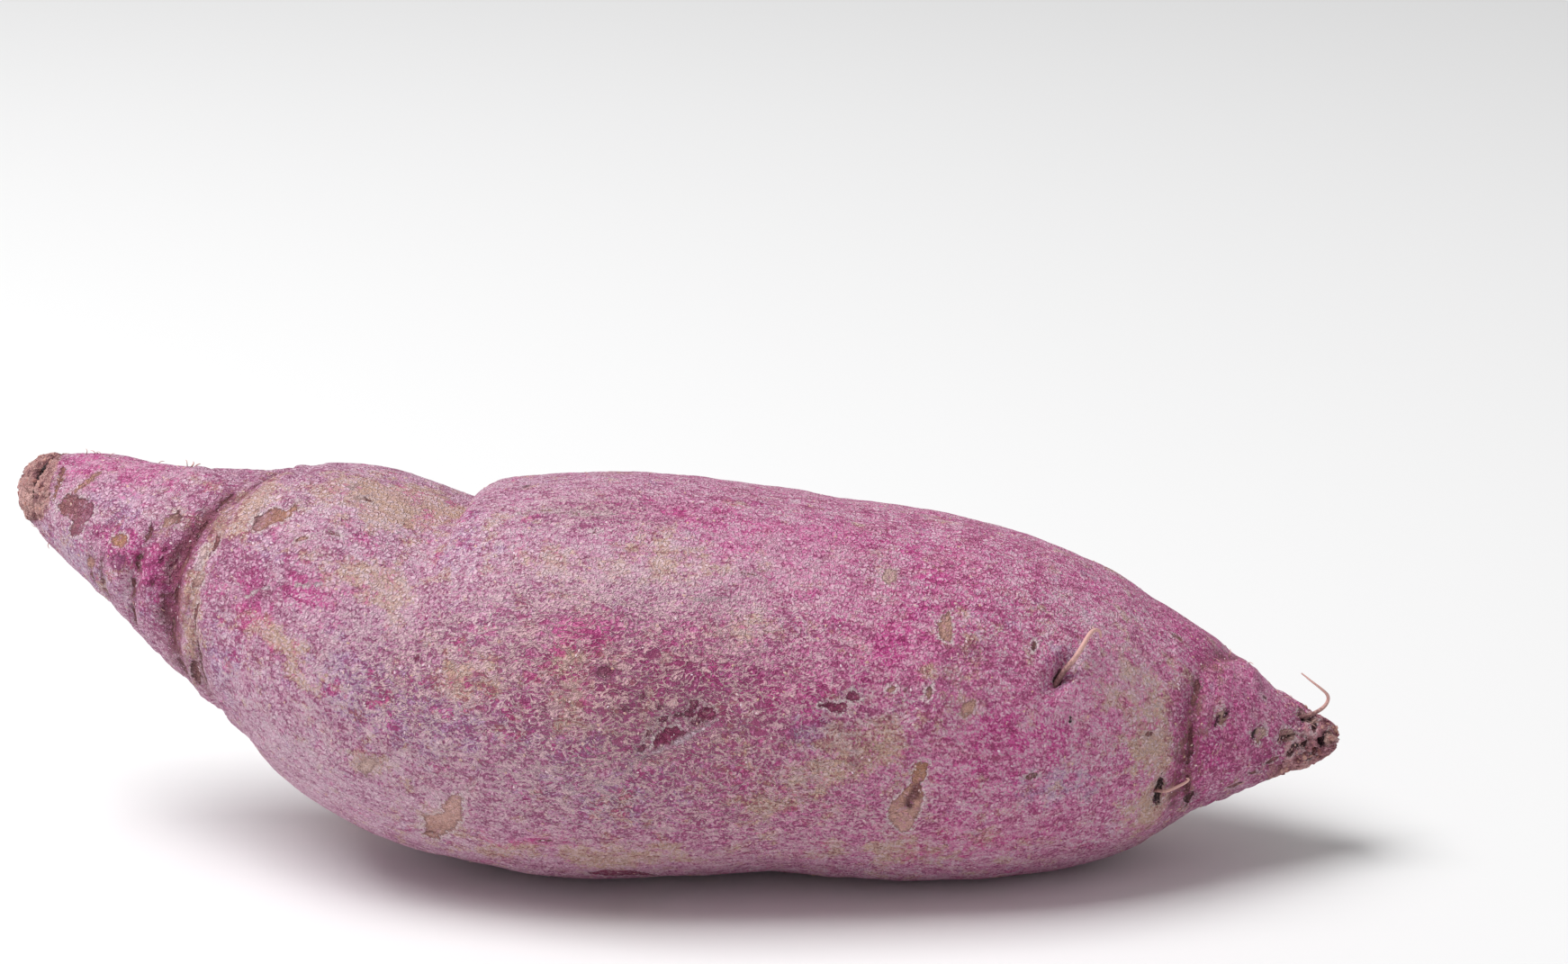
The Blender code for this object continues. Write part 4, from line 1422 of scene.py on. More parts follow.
@dataclass
class Tints:
    """Soft patches where the skin leans to one tint, each with the numbers of a Cloud."""

    form: RootForm
    clouds: Mapping[str, tuple] = field(default_factory=lambda: {
        "magenta": (
            # The first magenta patch here, near the top at 92 mm along and 74 degrees round, is
            # partly a painted shadow cast from above onto the top.
            (92, 74, 6, 2.5, 0.9), (28.5, 15, 2.2, 6, 0.6), (20, 8, 3, 3, 0.6), (12, 75, 6, 5, 0.6),
            (107, 68, 6, 4, 0.7), (162, 55, 5, 5, 0.6), (100, 62, 6, 4, 0.5),
            (24, 12, 2, 5, 0.9, 80), (42, 17, 2, 3, 1, 60), (48, 30, 3, 3, 0.7),
            (43, 46, 3, 2, 0.4), (81, 32, 6, 3, 0.7), (94, 29, 7, 3.5, 0.5), (118, 34, 6, 5, 0.8),
            (112, 70, 5, 3, 0.6), (134, 10, 8, 6, 0.6), (134, -26, 8, 4, 0.5), (141, 71, 6, 3, 0.5),
            (164, 62, 6, 3.5, 0.8), (77, -33, 3, 2, 0.8), (106, 19, 4, 3, 0.6),
            (108, 54, 4, 4, 0.5), (124, 62, 6, 5, 0.6), (145, 30, 4, 5, 0.5),
            (30, 20, 1.6, 7, 0.5, 85), (163, 25, 6, 9, 0.7), (19, 74, 5, 5, 0.7),
            (41.5, 25, 2.2, 4, 0.7), (81, 18, 6, 3, 0.4), (10, 70, 5, 5, 0.5), (158, 85, 5, 4, 0.5),
            (60, 150, 9, 6, 0.7), (96, 130, 9, 7, 0.7), (130, 175, 8, 6, 0.8),
            (110, -150, 9, 6, 0.7), (75, -120, 8, 6, 0.6), (148, 140, 6, 5, 0.8),
        ),
        "tan": (
            (50, 78, 7, 5.5, 1, 20), (58, 84, 5, 3.5, 0.8), (53, 41, 3, 4, 0.9, 70),
            (68, 18, 2.5, 2.5, 0.9), (81, 20, 3, 5, 0.8), (100, 35, 3.5, 2, 0.5),
            (79, 54, 3, 3, 0.5), (152, 11, 3, 8, 0.9), (115, 0, 6, 4.5, 0.75),
            (152, -28, 3, 4, 0.9), (34.2, 30, 1.2, 9, 0.7), (35.5, -8, 1.2, 7, 0.7),
            (37.5, 62, 1.5, 5, 0.9), (126, 22, 3.5, 3, 0.6), (67, -27, 3, 3, 0.4),
            (60, -16, 1.6, 1.6, 0.8), (86, -42, 14, 4, 0.6), (124, -34, 12, 3.5, 0.5),
            (105, -19, 6, 4, 0.4), (147, 42, 4, 8, 0.5), (46, 10, 2, 4, 0.7, 60),
            (71, 22, 3, 2, 0.4), (27, 40, 1.5, 3, 0.7), (90, 54, 10, 3, 0.5), (70, 120, 9, 6, 0.6),
            (118, 160, 8, 6, 0.7), (150, -130, 7, 8, 0.8), (60, -110, 9, 6, 0.6),
        ),
        "lavender": (
            (64, 4, 8, 7, 0.8), (54, 9, 5, 6, 0.7), (18, 42, 5, 4, 0.8), (64, 62, 5, 5, 0.6),
            (82, -5, 8, 5, 0.5), (110, 8, 3.5, 3, 0.8), (140, -5, 6, 4, 0.6),
            (40, -14, 2.5, 6, 0.8), (42, 39, 2, 3, 0.6), (16, -20, 7, 4, 0.9), (88, -19, 8, 4, 0.5),
            (139, 38, 3, 3, 0.5), (159.5, 20, 1.5, 6, 0.3), (28.5, -4, 1.5, 8, 0.7),
            (90, 165, 9, 7, 0.7), (140, -160, 8, 6, 0.6), (45, -170, 8, 7, 0.7),
        ),
        "plum": (
            (92.5, 6.5, 4.5, 1.9, 1, 35), (87, 17, 9, 5, 0.65), (92, 24, 5, 3, 0.5),
            (76, 13, 7, 4, 0.35), (103, 20, 7, 4, 0.6), (128, 32, 6, 5, 0.9), (118, 2, 6, 4, 0.5),
            (32, 12, 2, 8, 0.8), (38, 14, 3, 5, 0.5), (16, 32, 5, 4, 0.4), (26, 30, 3, 8, 0.5),
            (70, -10, 5, 4, 0.4), (52, -12, 5, 5, 0.4), (166, 30, 6, 6, 0.5), (108, 36, 5, 3, 0.4),
            (19, 5, 3, 3, 0.7), (170, -10, 6, 6, 0.7), (120, 140, 8, 6, 0.5), (156, 5, 2, 9, 0.9),
            (164, 20, 6, 8, 0.6), (97, 14, 8, 4, 0.5), (121, 18, 7, 5, 0.7), (42.5, 26, 3, 5, 1),
            (113, 12, 4, 4, 0.5), (128, 24, 5, 4, 0.7), (18.5, 27, 2.8, 3, 0.9),
            (115, 4, 5, 3, 0.5), (29, 18, 2.2, 8, 0.8),
        ),
        "pale": (
            (52, -30, 14, 6, 0.6), (18, 80, 10, 7, 0.5), (42, 60, 6, 6, 0.5), (54, 38, 6, 5, 0.4),
            (102, 62, 9, 5, 0.5), (146, 45, 9, 10, 0.5), (165, 60, 6, 5, 0.6), (72, 58, 12, 6, 0.3),
            (110, 66, 8, 5, 0.4), (60, 150, 12, 9, 0.4), (88, 44, 13, 4.5, 0.9),
            (72, 36, 6, 4, 0.5), (96, 32, 7, 3, 0.5), (81, -10, 7, 4, 0.6),
        ),
        "wrinkled": (
            (90, 12, 26, 14, 1), (82, 30, 18, 8, 0.6), (61, 12, 8, 7, 0.7), (100, -22, 30, 9, 0.5),
            (82, 72, 10, 4, 0.6), (100, 160, 30, 16, 0.8), (70, -140, 26, 14, 0.8),
        ),
    })

    def field_of(self, name: str, along: Array, around: Array) -> Array:
        """How strong one tint is.

        Args:
            name: the tint.
            along, around: where the points are on the skin.

        Returns:
            Its strength at each point, from 0 to 1.
        """
        left = np.ones(along.shape)
        for cloud in starmap(Cloud, self.clouds[name]):
            u, v = self.form.oval_reach(cloud, along, around)
            left *= 1 - cloud.strength * np.exp(-(u * u + v * v))
        return 1 - left


@dataclass
class GeometryGraph(Graph):
    """A Geometry Nodes tree with named inputs, which ends in Realize and Set Material."""

    inputs: Node = field(init=False)
    identifiers: dict[str, str] = field(default_factory=dict)

    @classmethod
    def begin(cls, name: str) -> "GeometryGraph":
        """Starts a tree that takes geometry in and gives geometry out.

        Args:
            name: the tree's name.

        Returns:
            The graph that writes it.
        """
        tree = bpy.data.node_groups.new(name, "GeometryNodeTree")
        tree.interface.new_socket("Geometry", in_out="INPUT", socket_type="NodeSocketGeometry")
        tree.interface.new_socket("Geometry", in_out="OUTPUT", socket_type="NodeSocketGeometry")
        graph = cls(tree)
        graph.inputs = tree.nodes.new("NodeGroupInput")
        return graph

    def given(self, name: str = "Geometry") -> Wire:
        """One of the tree's inputs."""
        return Wire(self, self.inputs.outputs[name])

    def asks(self, name: str, kind: str = "NodeSocketFloat") -> Wire:
        """Adds a named input to the tree.

        Args:
            name: the input's name.
            kind: its socket's type.

        Returns:
            What the input gives.
        """
        socket = self.tree.interface.new_socket(name, in_out="INPUT", socket_type=kind)
        self.identifiers[name] = socket.identifier
        return self.given(name)

    def named(self, name: str, kind: str = "FLOAT") -> Wire:
        """An attribute of the geometry."""
        return self.out("GeometryNodeInputNamedAttribute", {"data_type": kind}, {"Name": name})

    def ends(self, geometry: Wire) -> None:
        """Closes the tree with Realize Instances and Set Material.

        Args:
            geometry: what the tree has made.
        """
        real = self.out("GeometryNodeRealizeInstances", {}, {0: geometry})
        finish = self.asks("Finish", "NodeSocketMaterial")
        done = self.out("GeometryNodeSetMaterial", {}, {0: real, "Material": finish})
        self.node("NodeGroupOutput", {}, {0: done})

    def grow(self, name: str, base: Mesh, values: Mapping[str, Any]) -> Object:
        """Runs the tree on a mesh and keeps the result as a plain piece.

        Args:
            name: the piece's name.
            base: the mesh that the tree starts from.
            values: what the named inputs get.

        Returns:
            The piece, with no modifier left on it.
        """
        piece = placed(name, base)
        modifier = piece.modifiers.new(name, "NODES")
        modifier.node_group = self.tree
        for label, value in values.items():
            modifier[self.identifiers[label]] = value
        graph = bpy.context.evaluated_depsgraph_get()
        made = bpy.data.meshes.new_from_object(piece.evaluated_get(graph))
        made.name = name
        piece.modifiers.clear()
        piece.data = made
        return piece


def placed(name: str, data: bpy.types.ID) -> Object:
    """Puts a new object into the scene, at its origin.

    Args:
        name: its name.
        data: its mesh, light or camera.

    Returns:
        The object.
    """
    made = bpy.data.objects.new(name, data)
    bpy.context.scene.collection.objects.link(made)
    return made


def dress(piece: Object, replaces: bool = False) -> Object:
    """Hangs a finished piece on the root's body, and hides the solid if the piece stands for it.

    Args:
        piece: the piece, with its place in its mesh.
        replaces: whether it stands for the solid.

    Returns:
        The same piece.
    """
    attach(piece, BODY)
    if replaces:
        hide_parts(NODE)
    triangles = sum(len(face.vertices) - 2 for face in piece.data.polygons)
    log.info("%s: %d triangles", piece.name, triangles)
    return piece


@dataclass
class Skin:
    """The whole skin as one closed mesh, with its relief in the mesh.

    Each kind of fine relief has the gap between its features and its height, in millimetres.
    """

    form: RootForm
    scars: Scars
    tints: Tints
    finish: SkinFinish = SkinFinish()
    sides: int = 258
    rings: int = 386
    spread_steps: int = 6000
    ring_gaps: tuple = (
        (0, 0.16), (3, 0.34), (12, 0.38), (46, 0.42), (60, 0.5), (140, 0.5),
        (150, 0.42), (170, 0.38), (175, 0.3), (178, 0.14),
    )
    side_gaps: tuple = (
        (-180, 1.7), (-110, 1.4), (-85, 1), (105, 1), (135, 1.5), (180, 1.7),
    )
    crown_edge: tuple = (
        (-180, 5), (-60, 4.2), (-30, 5.6), (-15, 7), (-2, 8.6), (18, 8.8),
        (36, 7.1), (54, 6.1), (104, 4), (150, 5), (180, 5),
    )
    tail_end: float = 168.2
    relief_seed: float = 3.7
    gaps_and_heights: tuple = (
        ("Wrinkle", 1.5, 0.3), ("Ring", 2.4, 0.75), ("Cork", 1.2, 0.8), ("Grain", 0.9, 0.12),
        ("Swell", 7, 0.5),
    )

    def spread(self, gaps: Sequence[tuple], low: float, high: float, count: int) -> Array:
        """Places whose distances follow the given gaps.

        Args:
            gaps: (place, gap) pairs, with the places growing.
            low: the first place.
            high: the last place.
            count: how many places to give.

        Returns:
            The places.
        """
        fine = np.linspace(low, high, self.spread_steps)
        spots, sizes = np.array(gaps).T
        passed = np.cumsum(np.diff(fine) / np.interp(fine[1:], spots, sizes))
        passed = np.concatenate([[0], passed])
        return np.interp(np.linspace(0, passed[-1], count), passed, fine)

    def grid(self) -> Pair:
        """The places of the mesh's rings, without its two end points.

        Returns:
            Where each point is along the root and round it, in one row for each ring.
        """
        places = self.spread(self.ring_gaps, 0, self.form.length, self.rings + 2)[1:-1]
        rounds = self.spread(self.side_gaps, -180, 180, self.sides + 1)[:-1]
        return np.meshgrid(places, rounds, indexing="ij")

    def base(self) -> Mesh:
        """The skin before its finest relief, with what the finish reads at each point.

        Returns:
            The mesh.
        """
        along, around = self.grid()
        scars = self.scars.fields(along, around)
        points = self.form.skin(along, around, scars.pop("relief"))
        points[..., 2] = np.maximum(points[..., 2], 0.0)
        ends = self.form.skin(np.array([0.0, self.form.length]), np.zeros(2))
        vertices = np.concatenate([points.reshape(-1, 3), ends]) * MM
        mesh = bpy.data.meshes.new("skin_base")
        mesh.from_pydata(vertices, [], self.faces())
        mesh.update()
        fields = {**scars, **self.tone_fields(along, around)}
        for name, values in fields.items():
            self.store(mesh, name, values)
        self.store_map(mesh)
        mesh.shade_smooth()
        return mesh

    def faces(self) -> list[tuple[int, ...]]:
        """Four-cornered faces between rings, and a fan at each end, all facing outwards.

        Returns:
            The corners of each face.
        """
        row = np.arange(self.sides)
        following = np.roll(row, -1)
        first = (np.arange(self.rings - 1) * self.sides)[:, None]
        quads = np.stack(
            [first + row, first + self.sides + row, first + self.sides + following,
             first + following], axis=-1,
        ).reshape(-1, 4)
        crown = self.rings * self.sides
        last = crown - self.sides
        fans = [(crown, int(k), int(n)) for k, n in zip(row, following)]
        fans += [(crown + 1, last + int(n), last + int(k)) for k, n in zip(row, following)]
        return [tuple(quad) for quad in quads.tolist()] + fans

    def tone_fields(self, along: Array, around: Array) -> dict[str, Array]:
        """The soft fields that the finish and the fine relief read.

        Args:
            along, around: where the points are on the skin.

        Returns:
            The values at each point, by the attribute's name.
        """
        form = self.form
        section = form.section(along)
        angle = np.radians(around)
        place = np.stack(
            [along, -section[..., 4] * np.cos(angle), section[..., 3] * np.sin(angle)], axis=-1
        )
        ring = -form.groove_relief(form.neck_ring, along - 0.4, around)
        edge_rounds, edge_places = np.array(self.crown_edge).T
        crown_edge = np.interp(around, edge_rounds, edge_places)
        tail_edge = self.tail_end + 5.0 * smooth(around, -60, 50) * smooth(around, 200, 140)
        corky = np.maximum(
            smooth(along - crown_edge, 1.2, -1.2), smooth(along - tail_edge, -4.0, 3.5)
        )
        ring_start = 17 - 5 * smooth(around, 10, -40) * smooth(around, -170, -60)
        rings = np.maximum(
            smooth(along - ring_start, 0, 9) * smooth(along, 50, 36),
            0.5 * smooth(along, 148, 156) * smooth(along, 172, 164),
        )
        scaly = sum(
            -form.groove_relief(groove._replace(crown_side=1.8, tail_side=2.6), along - 0.8, around)
            for groove in (form.neck_ring, *form.grooves[1:3], form.grooves[4])
        )
        scaly = scaly * (1 + 0.6 * smooth(along, 100, 150))
        fields = {
            "place": place,
            "scaly": scaly,
            "ripe": smooth(along, 55, 140) * smooth(around, -95, 10),
            "crease": -form.creases(along, around),
            "ring_red": ring,
            "corky": corky,
            "crack": -form.groove_relief(form.grooves[0], along, around),
            "ringed": rings,
        }
        for name in self.tints.clouds:
            fields[name] = self.tints.field_of(name, along, around)
        return fields

    def store(self, mesh: Mesh, name: str, values: Array) -> None:
        """Keeps values on the mesh's points; each end point takes its ring's mean.

        Args:
            mesh: the skin's mesh.
            name: the attribute's name.
            values: a number, a vector or a colour for each point of the rings.
        """
        width = 1 if values.ndim == 2 else values.shape[-1]
        flat = values.reshape(self.rings, self.sides, width)
        ends = np.stack([flat[0].mean(axis=0), flat[-1].mean(axis=0)])
        whole = np.concatenate([flat.reshape(-1, width), ends]).astype(np.float32)
        kinds = {1: ("FLOAT", "value"), 3: ("FLOAT_VECTOR", "vector"), 4: ("FLOAT_COLOR", "color")}
        kind, part = kinds[width]
        layer = mesh.attributes.new(name, kind, "POINT")
        layer.data.foreach_set(part, whole.ravel())

    def store_map(self, mesh: Mesh) -> None:
        """Adds a flat map of the skin: along the root one way, and round it the other.

        Args:
            mesh: the skin's mesh.
        """
        corners = np.empty(len(mesh.loops), np.int32)
        mesh.loops.foreach_get("vertex_index", corners)
        starts = np.empty(len(mesh.polygons), np.int32)
        mesh.polygons.foreach_get("loop_start", starts)
        face = np.searchsorted(starts, np.arange(len(corners)), side="right") - 1
        ring, side = corners // self.sides, corners % self.sides
        u = (ring + 1) / (self.rings + 1)
        v = side / self.sides
        row = np.arange(len(starts)) % self.sides
        wraps = (row[face] == self.sides - 1) & (side == 0)
        v = np.where(wraps, 1.0, v)
        ends = corners >= self.rings * self.sides
        u = np.where(ends, np.where(corners == self.rings * self.sides, 0.0, 1.0), u)
        v = np.where(ends, (row[face] + 0.5) / self.sides, v)
        layer = mesh.uv_layers.new(name="OFBake")
        layer.uv.foreach_set("vector", np.stack([u, v], axis=-1).astype(np.float32).ravel())

    def relief_tree(self) -> GeometryGraph:
        """The fine relief as a tree: wrinkles, rings, swells, cork and grain, pressed inwards.

        Returns:
            The graph that writes it.
        """
        graph = GeometryGraph.begin("skin_relief")
        place = graph.named("place", "FLOAT_VECTOR")
        seed = graph.asks("Seed")

        def waves(kind: str, detail: float, stretch: Sequence[float] = (1.0, 1.0, 1.0)) -> Wire:
            """A kind's noise on the stretched skin, from 0 to 1."""
            gap = graph.asks(f"{kind} gap")
            return graph.noise(graph.stretched(place, stretch), gap, detail, seed=seed)

        def ridges(kind: str, detail: float, stretch: Sequence[float]) -> Wire:
            """How deep the furrows between a kind's narrow crests are, around 0."""
            folded = graph.maths("ABSOLUTE", waves(kind, detail, stretch) - 0.5) * 4.0
            return (folded.step(0.0, 1.0) - 0.5) * graph.asks(f"{kind} height")

        rough_tail = graph.named("ripe") * 0.9 + 1.0
        fine = (
            ridges("Wrinkle", 2.0, (0.3, 1.0, 1.0)) * (graph.named("wrinkled") * 0.8 + 0.2)
            + ridges("Ring", 4.0, (1.0, 0.26, 0.26)) * graph.named("ringed")
            + ridges("Cork", 3.0, (0.7, 1.0, 1.0)) * graph.named("corky") * rough_tail
            + (waves("Grain", 2.0) - 0.5) * 2.0 * graph.asks("Grain height")
        )
        swell = (waves("Swell", 1.0) - 0.5) * 2.0 * graph.asks("Swell height")
        normal = graph.out("GeometryNodeInputNormal")
        sockets = {0: normal, "Scale": (fine + swell) * -MM}
        offset = graph.out("ShaderNodeVectorMath", {"operation": "SCALE"}, sockets)
        moved = graph.out("GeometryNodeSetPosition", {}, {0: graph.given(), "Offset": offset})
        parts = graph.split(graph.out("GeometryNodeInputPosition"))
        parts["Z"] = graph.maths("MAXIMUM", parts["Z"], 0.0)
        lifted = graph.out("ShaderNodeCombineXYZ", {}, parts)
        kept = graph.out(
            "GeometryNodeStoreNamedAttribute", {"data_type": "FLOAT", "domain": "POINT"},
            {0: moved, "Name": "fine_relief", "Value": fine},
        )
        graph.ends(graph.out("GeometryNodeSetPosition", {}, {0: kept, "Position": lifted}))
        return graph

    def build(self) -> Object:
        """Makes the skin and hangs it in the solid's place.

        Returns:
            The skin.
        """
        values = {"Seed": self.relief_seed, "Finish": self.finish.material()}
        for kind, gap, height in self.gaps_and_heights:
            values[f"{kind} gap"] = gap
            values[f"{kind} height"] = height
        piece = self.relief_tree().grow("skin", self.base(), values)
        return dress(piece, replaces=True)


@dataclass
class Rootlets:
    """The dry side roots: three at the front, and those drawn for the back."""

    form: RootForm
    name: str = "rootlets"
    finish: RootletFinish = RootletFinish()
    front: tuple = (
        Rootlet(((137.2, 27, -1.8), (138, 31, 0.2), (139.5, 35.5, 1.1),
                 (139.8, 39.5, 1.5), (140.4, 43.5, 1.8), (141.4, 47.5, 1.9),
                 (142.6, 48.6, 1.6), (143.1, 47, 1.1)), 0.72),
        Rootlet(((152.3, -20.2, -1.8), (153, -18.6, 0.3), (154.3, -16.2, 1.1),
                 (155.8, -13.4, 1.8), (157.2, -10.6, 2.3)), 0.45),
        Rootlet(((171.9, 62, -1.2), (173.4, 66, 0.8), (174.5, 72, 2.2),
                 (174.4, 78, 3.5), (172.4, 82, 4.2), (169.8, 86, 3.9)), 0.52),
    )
    seed: int = 41
    hidden: int = 7
    hidden_along: tuple = (40, 160)
    hidden_round: tuple = (138, 212)
    points_each: int = 26
    tip_share: float = 0.35
    wobble: float = 0.16
    wobble_seed: float = 1.3
    wobble_scale: float = 700.0
    profile_sides: int = 10

    def hidden_rootlets(self) -> Iterator[Rootlet]:
        """Draws rootlets for the back and top, which lean over the skin in drawn directions.

        Returns:
            Each rootlet in turn.
        """
        draw = random.Random(self.seed)
        low, high = self.hidden_along
        for i in range(self.hidden):
            along = low + (i + draw.uniform(0.2, 0.8)) / self.hidden * (high - low)
            around = draw.uniform(*self.hidden_round)
            length = draw.uniform(4.0, 8.0)
            heading = draw.uniform(0, 2 * math.pi)
            bend = draw.uniform(-0.5, 0.5)
            girth = self.form.girth(along)
            route = []
            for share in (-0.1, 0.1, 0.4, 0.7, 1.0):
                way = heading + bend * share
                reach = length * share
                turned = around + math.degrees(reach * math.sin(way) / girth)
                height = -1.8 if share < 0 else 0.3 + 2.0 * math.sin(share * 1.8)
                route.append((along + reach * math.cos(way), turned, height))
            yield Rootlet(tuple(route), draw.uniform(0.45, 0.7))

    def lines(self) -> Mesh:
        """Every rootlet's middle line as joined edges, with its half thickness at each point.

        Returns:
            The mesh of the lines.
        """
        points, edges, radius, reach = [], [], [], []
        for rootlet in (*self.front, *self.hidden_rootlets()):
            route = np.array(rootlet.route)
            over = self.form.skin(route[:, 0], route[:, 1])
            over += self.form.normal(route[:, 0], route[:, 1]) * route[:, 2:]
            curve = spline_through(np.arange(len(route), dtype=float), over)
            shares = np.linspace(0, 1, self.points_each)
            start = len(points)
            points.extend(curve(shares * (len(route) - 1)) * MM)
            edges.extend((start + i, start + i + 1) for i in range(self.points_each - 1))
            taper = 1 - (1 - self.tip_share) * shares**3
            radius.extend(rootlet.thick / 2 * taper * MM)
            reach.extend(shares)
        mesh = bpy.data.meshes.new("rootlet_lines")
        mesh.from_pydata([tuple(point) for point in points], edges, [])
        for name, values in (("half_thick", radius), ("reach", reach)):
            layer = mesh.attributes.new(name, "FLOAT", "POINT")
            layer.data.foreach_set("value", np.array(values, np.float32))
        return mesh

    def tree(self) -> GeometryGraph:
        """Tubes along the lines, a little uneven, and closed at both ends.

        Returns:
            The graph that makes them.
        """
        graph = GeometryGraph.begin("rootlet_tubes")
        line = graph.out("GeometryNodeMeshToCurve", {}, {0: graph.given()})
        shake = graph.node(
            "ShaderNodeTexNoise", {"noise_dimensions": "4D"},
            {"W": graph.asks("Seed"), "Scale": self.wobble_scale, "Detail": 1.0,
             "Vector": graph.out("GeometryNodeInputPosition")},
        )
        centred = graph.out(
            "ShaderNodeVectorMath", {"operation": "SUBTRACT"},
            {0: Wire(graph, shake.outputs["Color"]), 1: (0.5, 0.5, 0.5)},
        )
        offset = graph.out(
            "ShaderNodeVectorMath", {"operation": "SCALE"},
            {0: centred, "Scale": graph.asks("Wobble") * graph.named("reach")},
        )
        line = graph.out("GeometryNodeSetPosition", {}, {0: line, "Offset": offset})
        ring = graph.out(
            "GeometryNodeCurvePrimitiveCircle", {"mode": "RADIUS"},
            {"Resolution": graph.asks("Sides", "NodeSocketInt"), "Radius": 1.0},
        )
        tube = graph.out(
            "GeometryNodeCurveToMesh", {},
            {"Curve": line, "Profile Curve": ring, "Scale": graph.named("half_thick"),
             "Fill Caps": True},
        )
        graph.ends(graph.out("GeometryNodeSetShadeSmooth", {}, {0: tube, "Shade Smooth": True}))
        return graph

    def build(self) -> Object:
        """Makes all of them as one piece.

        Returns:
            The piece.
        """
        values = {
            "Wobble": self.wobble * MM, "Seed": self.wobble_seed, "Sides": self.profile_sides,
            "Finish": self.finish.material(),
        }
        return dress(self.tree().grow(self.name, self.lines(), values))


@dataclass
class Crumbs:
    """Loose crumbs and curled flakes of skin, spread over the root by a tree."""

    skin: Object
    finish: ChipFinish = ChipFinish()
    per_square_metre: float = 110000.0
    smallest: float = 0.07
    largest: float = 0.22
    least_rise: float = 1.0
    length_share: float = 1.3
    width_share: float = 0.8
    height_share: float = 0.45
    more_on_cork: float = 3.0
    larger_on_cork: float = 0.9
    lean: float = 0.25
    seed: int = 7

    def tree(self) -> GeometryGraph:
        """Small flattened lumps on the skin, turned by chance.

        Returns:
            The graph that makes them.
        """
        graph = GeometryGraph.begin("crumbs_on_skin")
        corky = graph.named("corky")
        height = graph.split(graph.out("GeometryNodeInputPosition"))["Z"]
        over = graph.maths("GREATER_THAN", height, graph.asks("Least rise"))
        density = graph.asks("Per square metre") * (corky * self.more_on_cork + 1.0) * over
        spread = graph.node(
            "GeometryNodeDistributePointsOnFaces", {"distribute_method": "RANDOM"},
            {"Mesh": graph.given(), "Density": density,
             "Seed": graph.asks("Seed", "NodeSocketInt")},
        )
        lump = graph.out("GeometryNodeMeshIcoSphere", {}, {"Radius": 1.0, "Subdivisions": 1})
        shares = {"X": self.length_share, "Y": self.width_share, "Z": graph.asks("Flatness")}
        flat = graph.out("ShaderNodeCombineXYZ", {}, shares)
        lump = graph.out("GeometryNodeTransform", {}, {"Geometry": lump, "Scale": flat})
        size = graph.out(
            "FunctionNodeRandomValue", {"data_type": "FLOAT"},
            {2: graph.asks("Smallest"), 3: graph.asks("Largest"), "ID": 1}, 1,
        )
        turn = graph.out(
            "FunctionNodeRandomValue", {"data_type": "FLOAT"}, {2: 0.0, 3: 2 * math.pi, "ID": 2}, 1
        )
        spin = graph.out(
            "FunctionNodeRotateRotation", {"rotation_space": "LOCAL"},
            {0: Wire(graph, spread.outputs["Rotation"]),
             1: graph.out("ShaderNodeCombineXYZ", {}, {"X": self.lean, "Z": turn})},
        )
        placed = graph.out(
            "GeometryNodeInstanceOnPoints", {},
            {"Points": Wire(graph, spread.outputs["Points"]), "Instance": lump,
             "Rotation": spin, "Scale": size * (corky * self.larger_on_cork + 1.0)},
        )
        graph.ends(placed)
        return graph

    def build(self) -> Object:
        """Makes the crumbs as one piece.

        Returns:
            The piece.
        """
        values = {
            "Per square metre": self.per_square_metre, "Seed": self.seed,
            "Smallest": self.smallest * MM, "Largest": self.largest * MM,
            "Flatness": self.height_share, "Least rise": self.least_rise * MM,
            "Finish": self.finish.material(),
        }
        return dress(self.tree().grow("crumbs", self.skin.data, values))


@dataclass
class Hairs(Rootlets):
    """Fine dry hairs and fibres of the crown, the neck's top and the tail."""

    name: str = "hairs"
    front: tuple = (
        Rootlet(((7.4, 93, -0.3), (7.6, 94.5, 0.4), (7.3, 96, 0.7)), 0.14),
        Rootlet(((11, 92, -0.3), (11.2, 94, 0.3), (11.6, 95.5, 0.5)), 0.12),
        Rootlet(((21.2, 106, -0.3), (21.5, 109, 0.5), (21.2, 112, 0.9)), 0.24),
        Rootlet(((21.6, 106, -0.3), (22.1, 108, 0.5), (22.5, 109, 0.7)), 0.2),
        Rootlet(((21, 107, -0.3), (20.6, 109, 0.7), (20.2, 111, 1)), 0.14),
    )
    seed: int = 77
    crown_hairs: int = 46
    tail_hairs: int = 60
    scattered: int = 40
    points_each: int = 7
    wobble: float = 0.12
    wobble_seed: float = 4.1
    profile_sides: int = 5

    def hidden_rootlets(self) -> Iterator[Rootlet]:
        """Draws short hairs round both ends, and a few over the rest of the skin.

        Returns:
            Each hair in turn.
        """
        draw = random.Random(self.seed)
        zones = (
            (self.crown_hairs, 0.6, 11.0, 1.3),
            (self.tail_hairs, 160.0, 177.0, 1.3),
            (self.scattered, 12.0, 165.0, 1.0),
        )
        for count, start, end, longest in zones:
            for _ in range(count):
                along = draw.uniform(start, end)
                around = draw.uniform(-50, 230)
                heading = draw.uniform(0, 2 * math.pi)
                length = draw.uniform(0.5, longest)
                reach = math.degrees(length * math.sin(heading) / max(self.form.girth(along), 2.5))
                rise = draw.uniform(0.1, 0.6) * length
                route = (
                    (along, around, -0.3),
                    (along + 0.4 * length * math.cos(heading), around + 0.4 * reach, rise * 0.8),
                    (along + length * math.cos(heading), around + reach, rise),
                )
                yield Rootlet(route, draw.uniform(0.09, 0.16))


class Lamp(NamedTuple):
    """A soft square light: its direction from the root in degrees, then metres and watts."""

    name: str
    azimuth: float
    elevation: float
    distance: float
    size: float
    watts: float


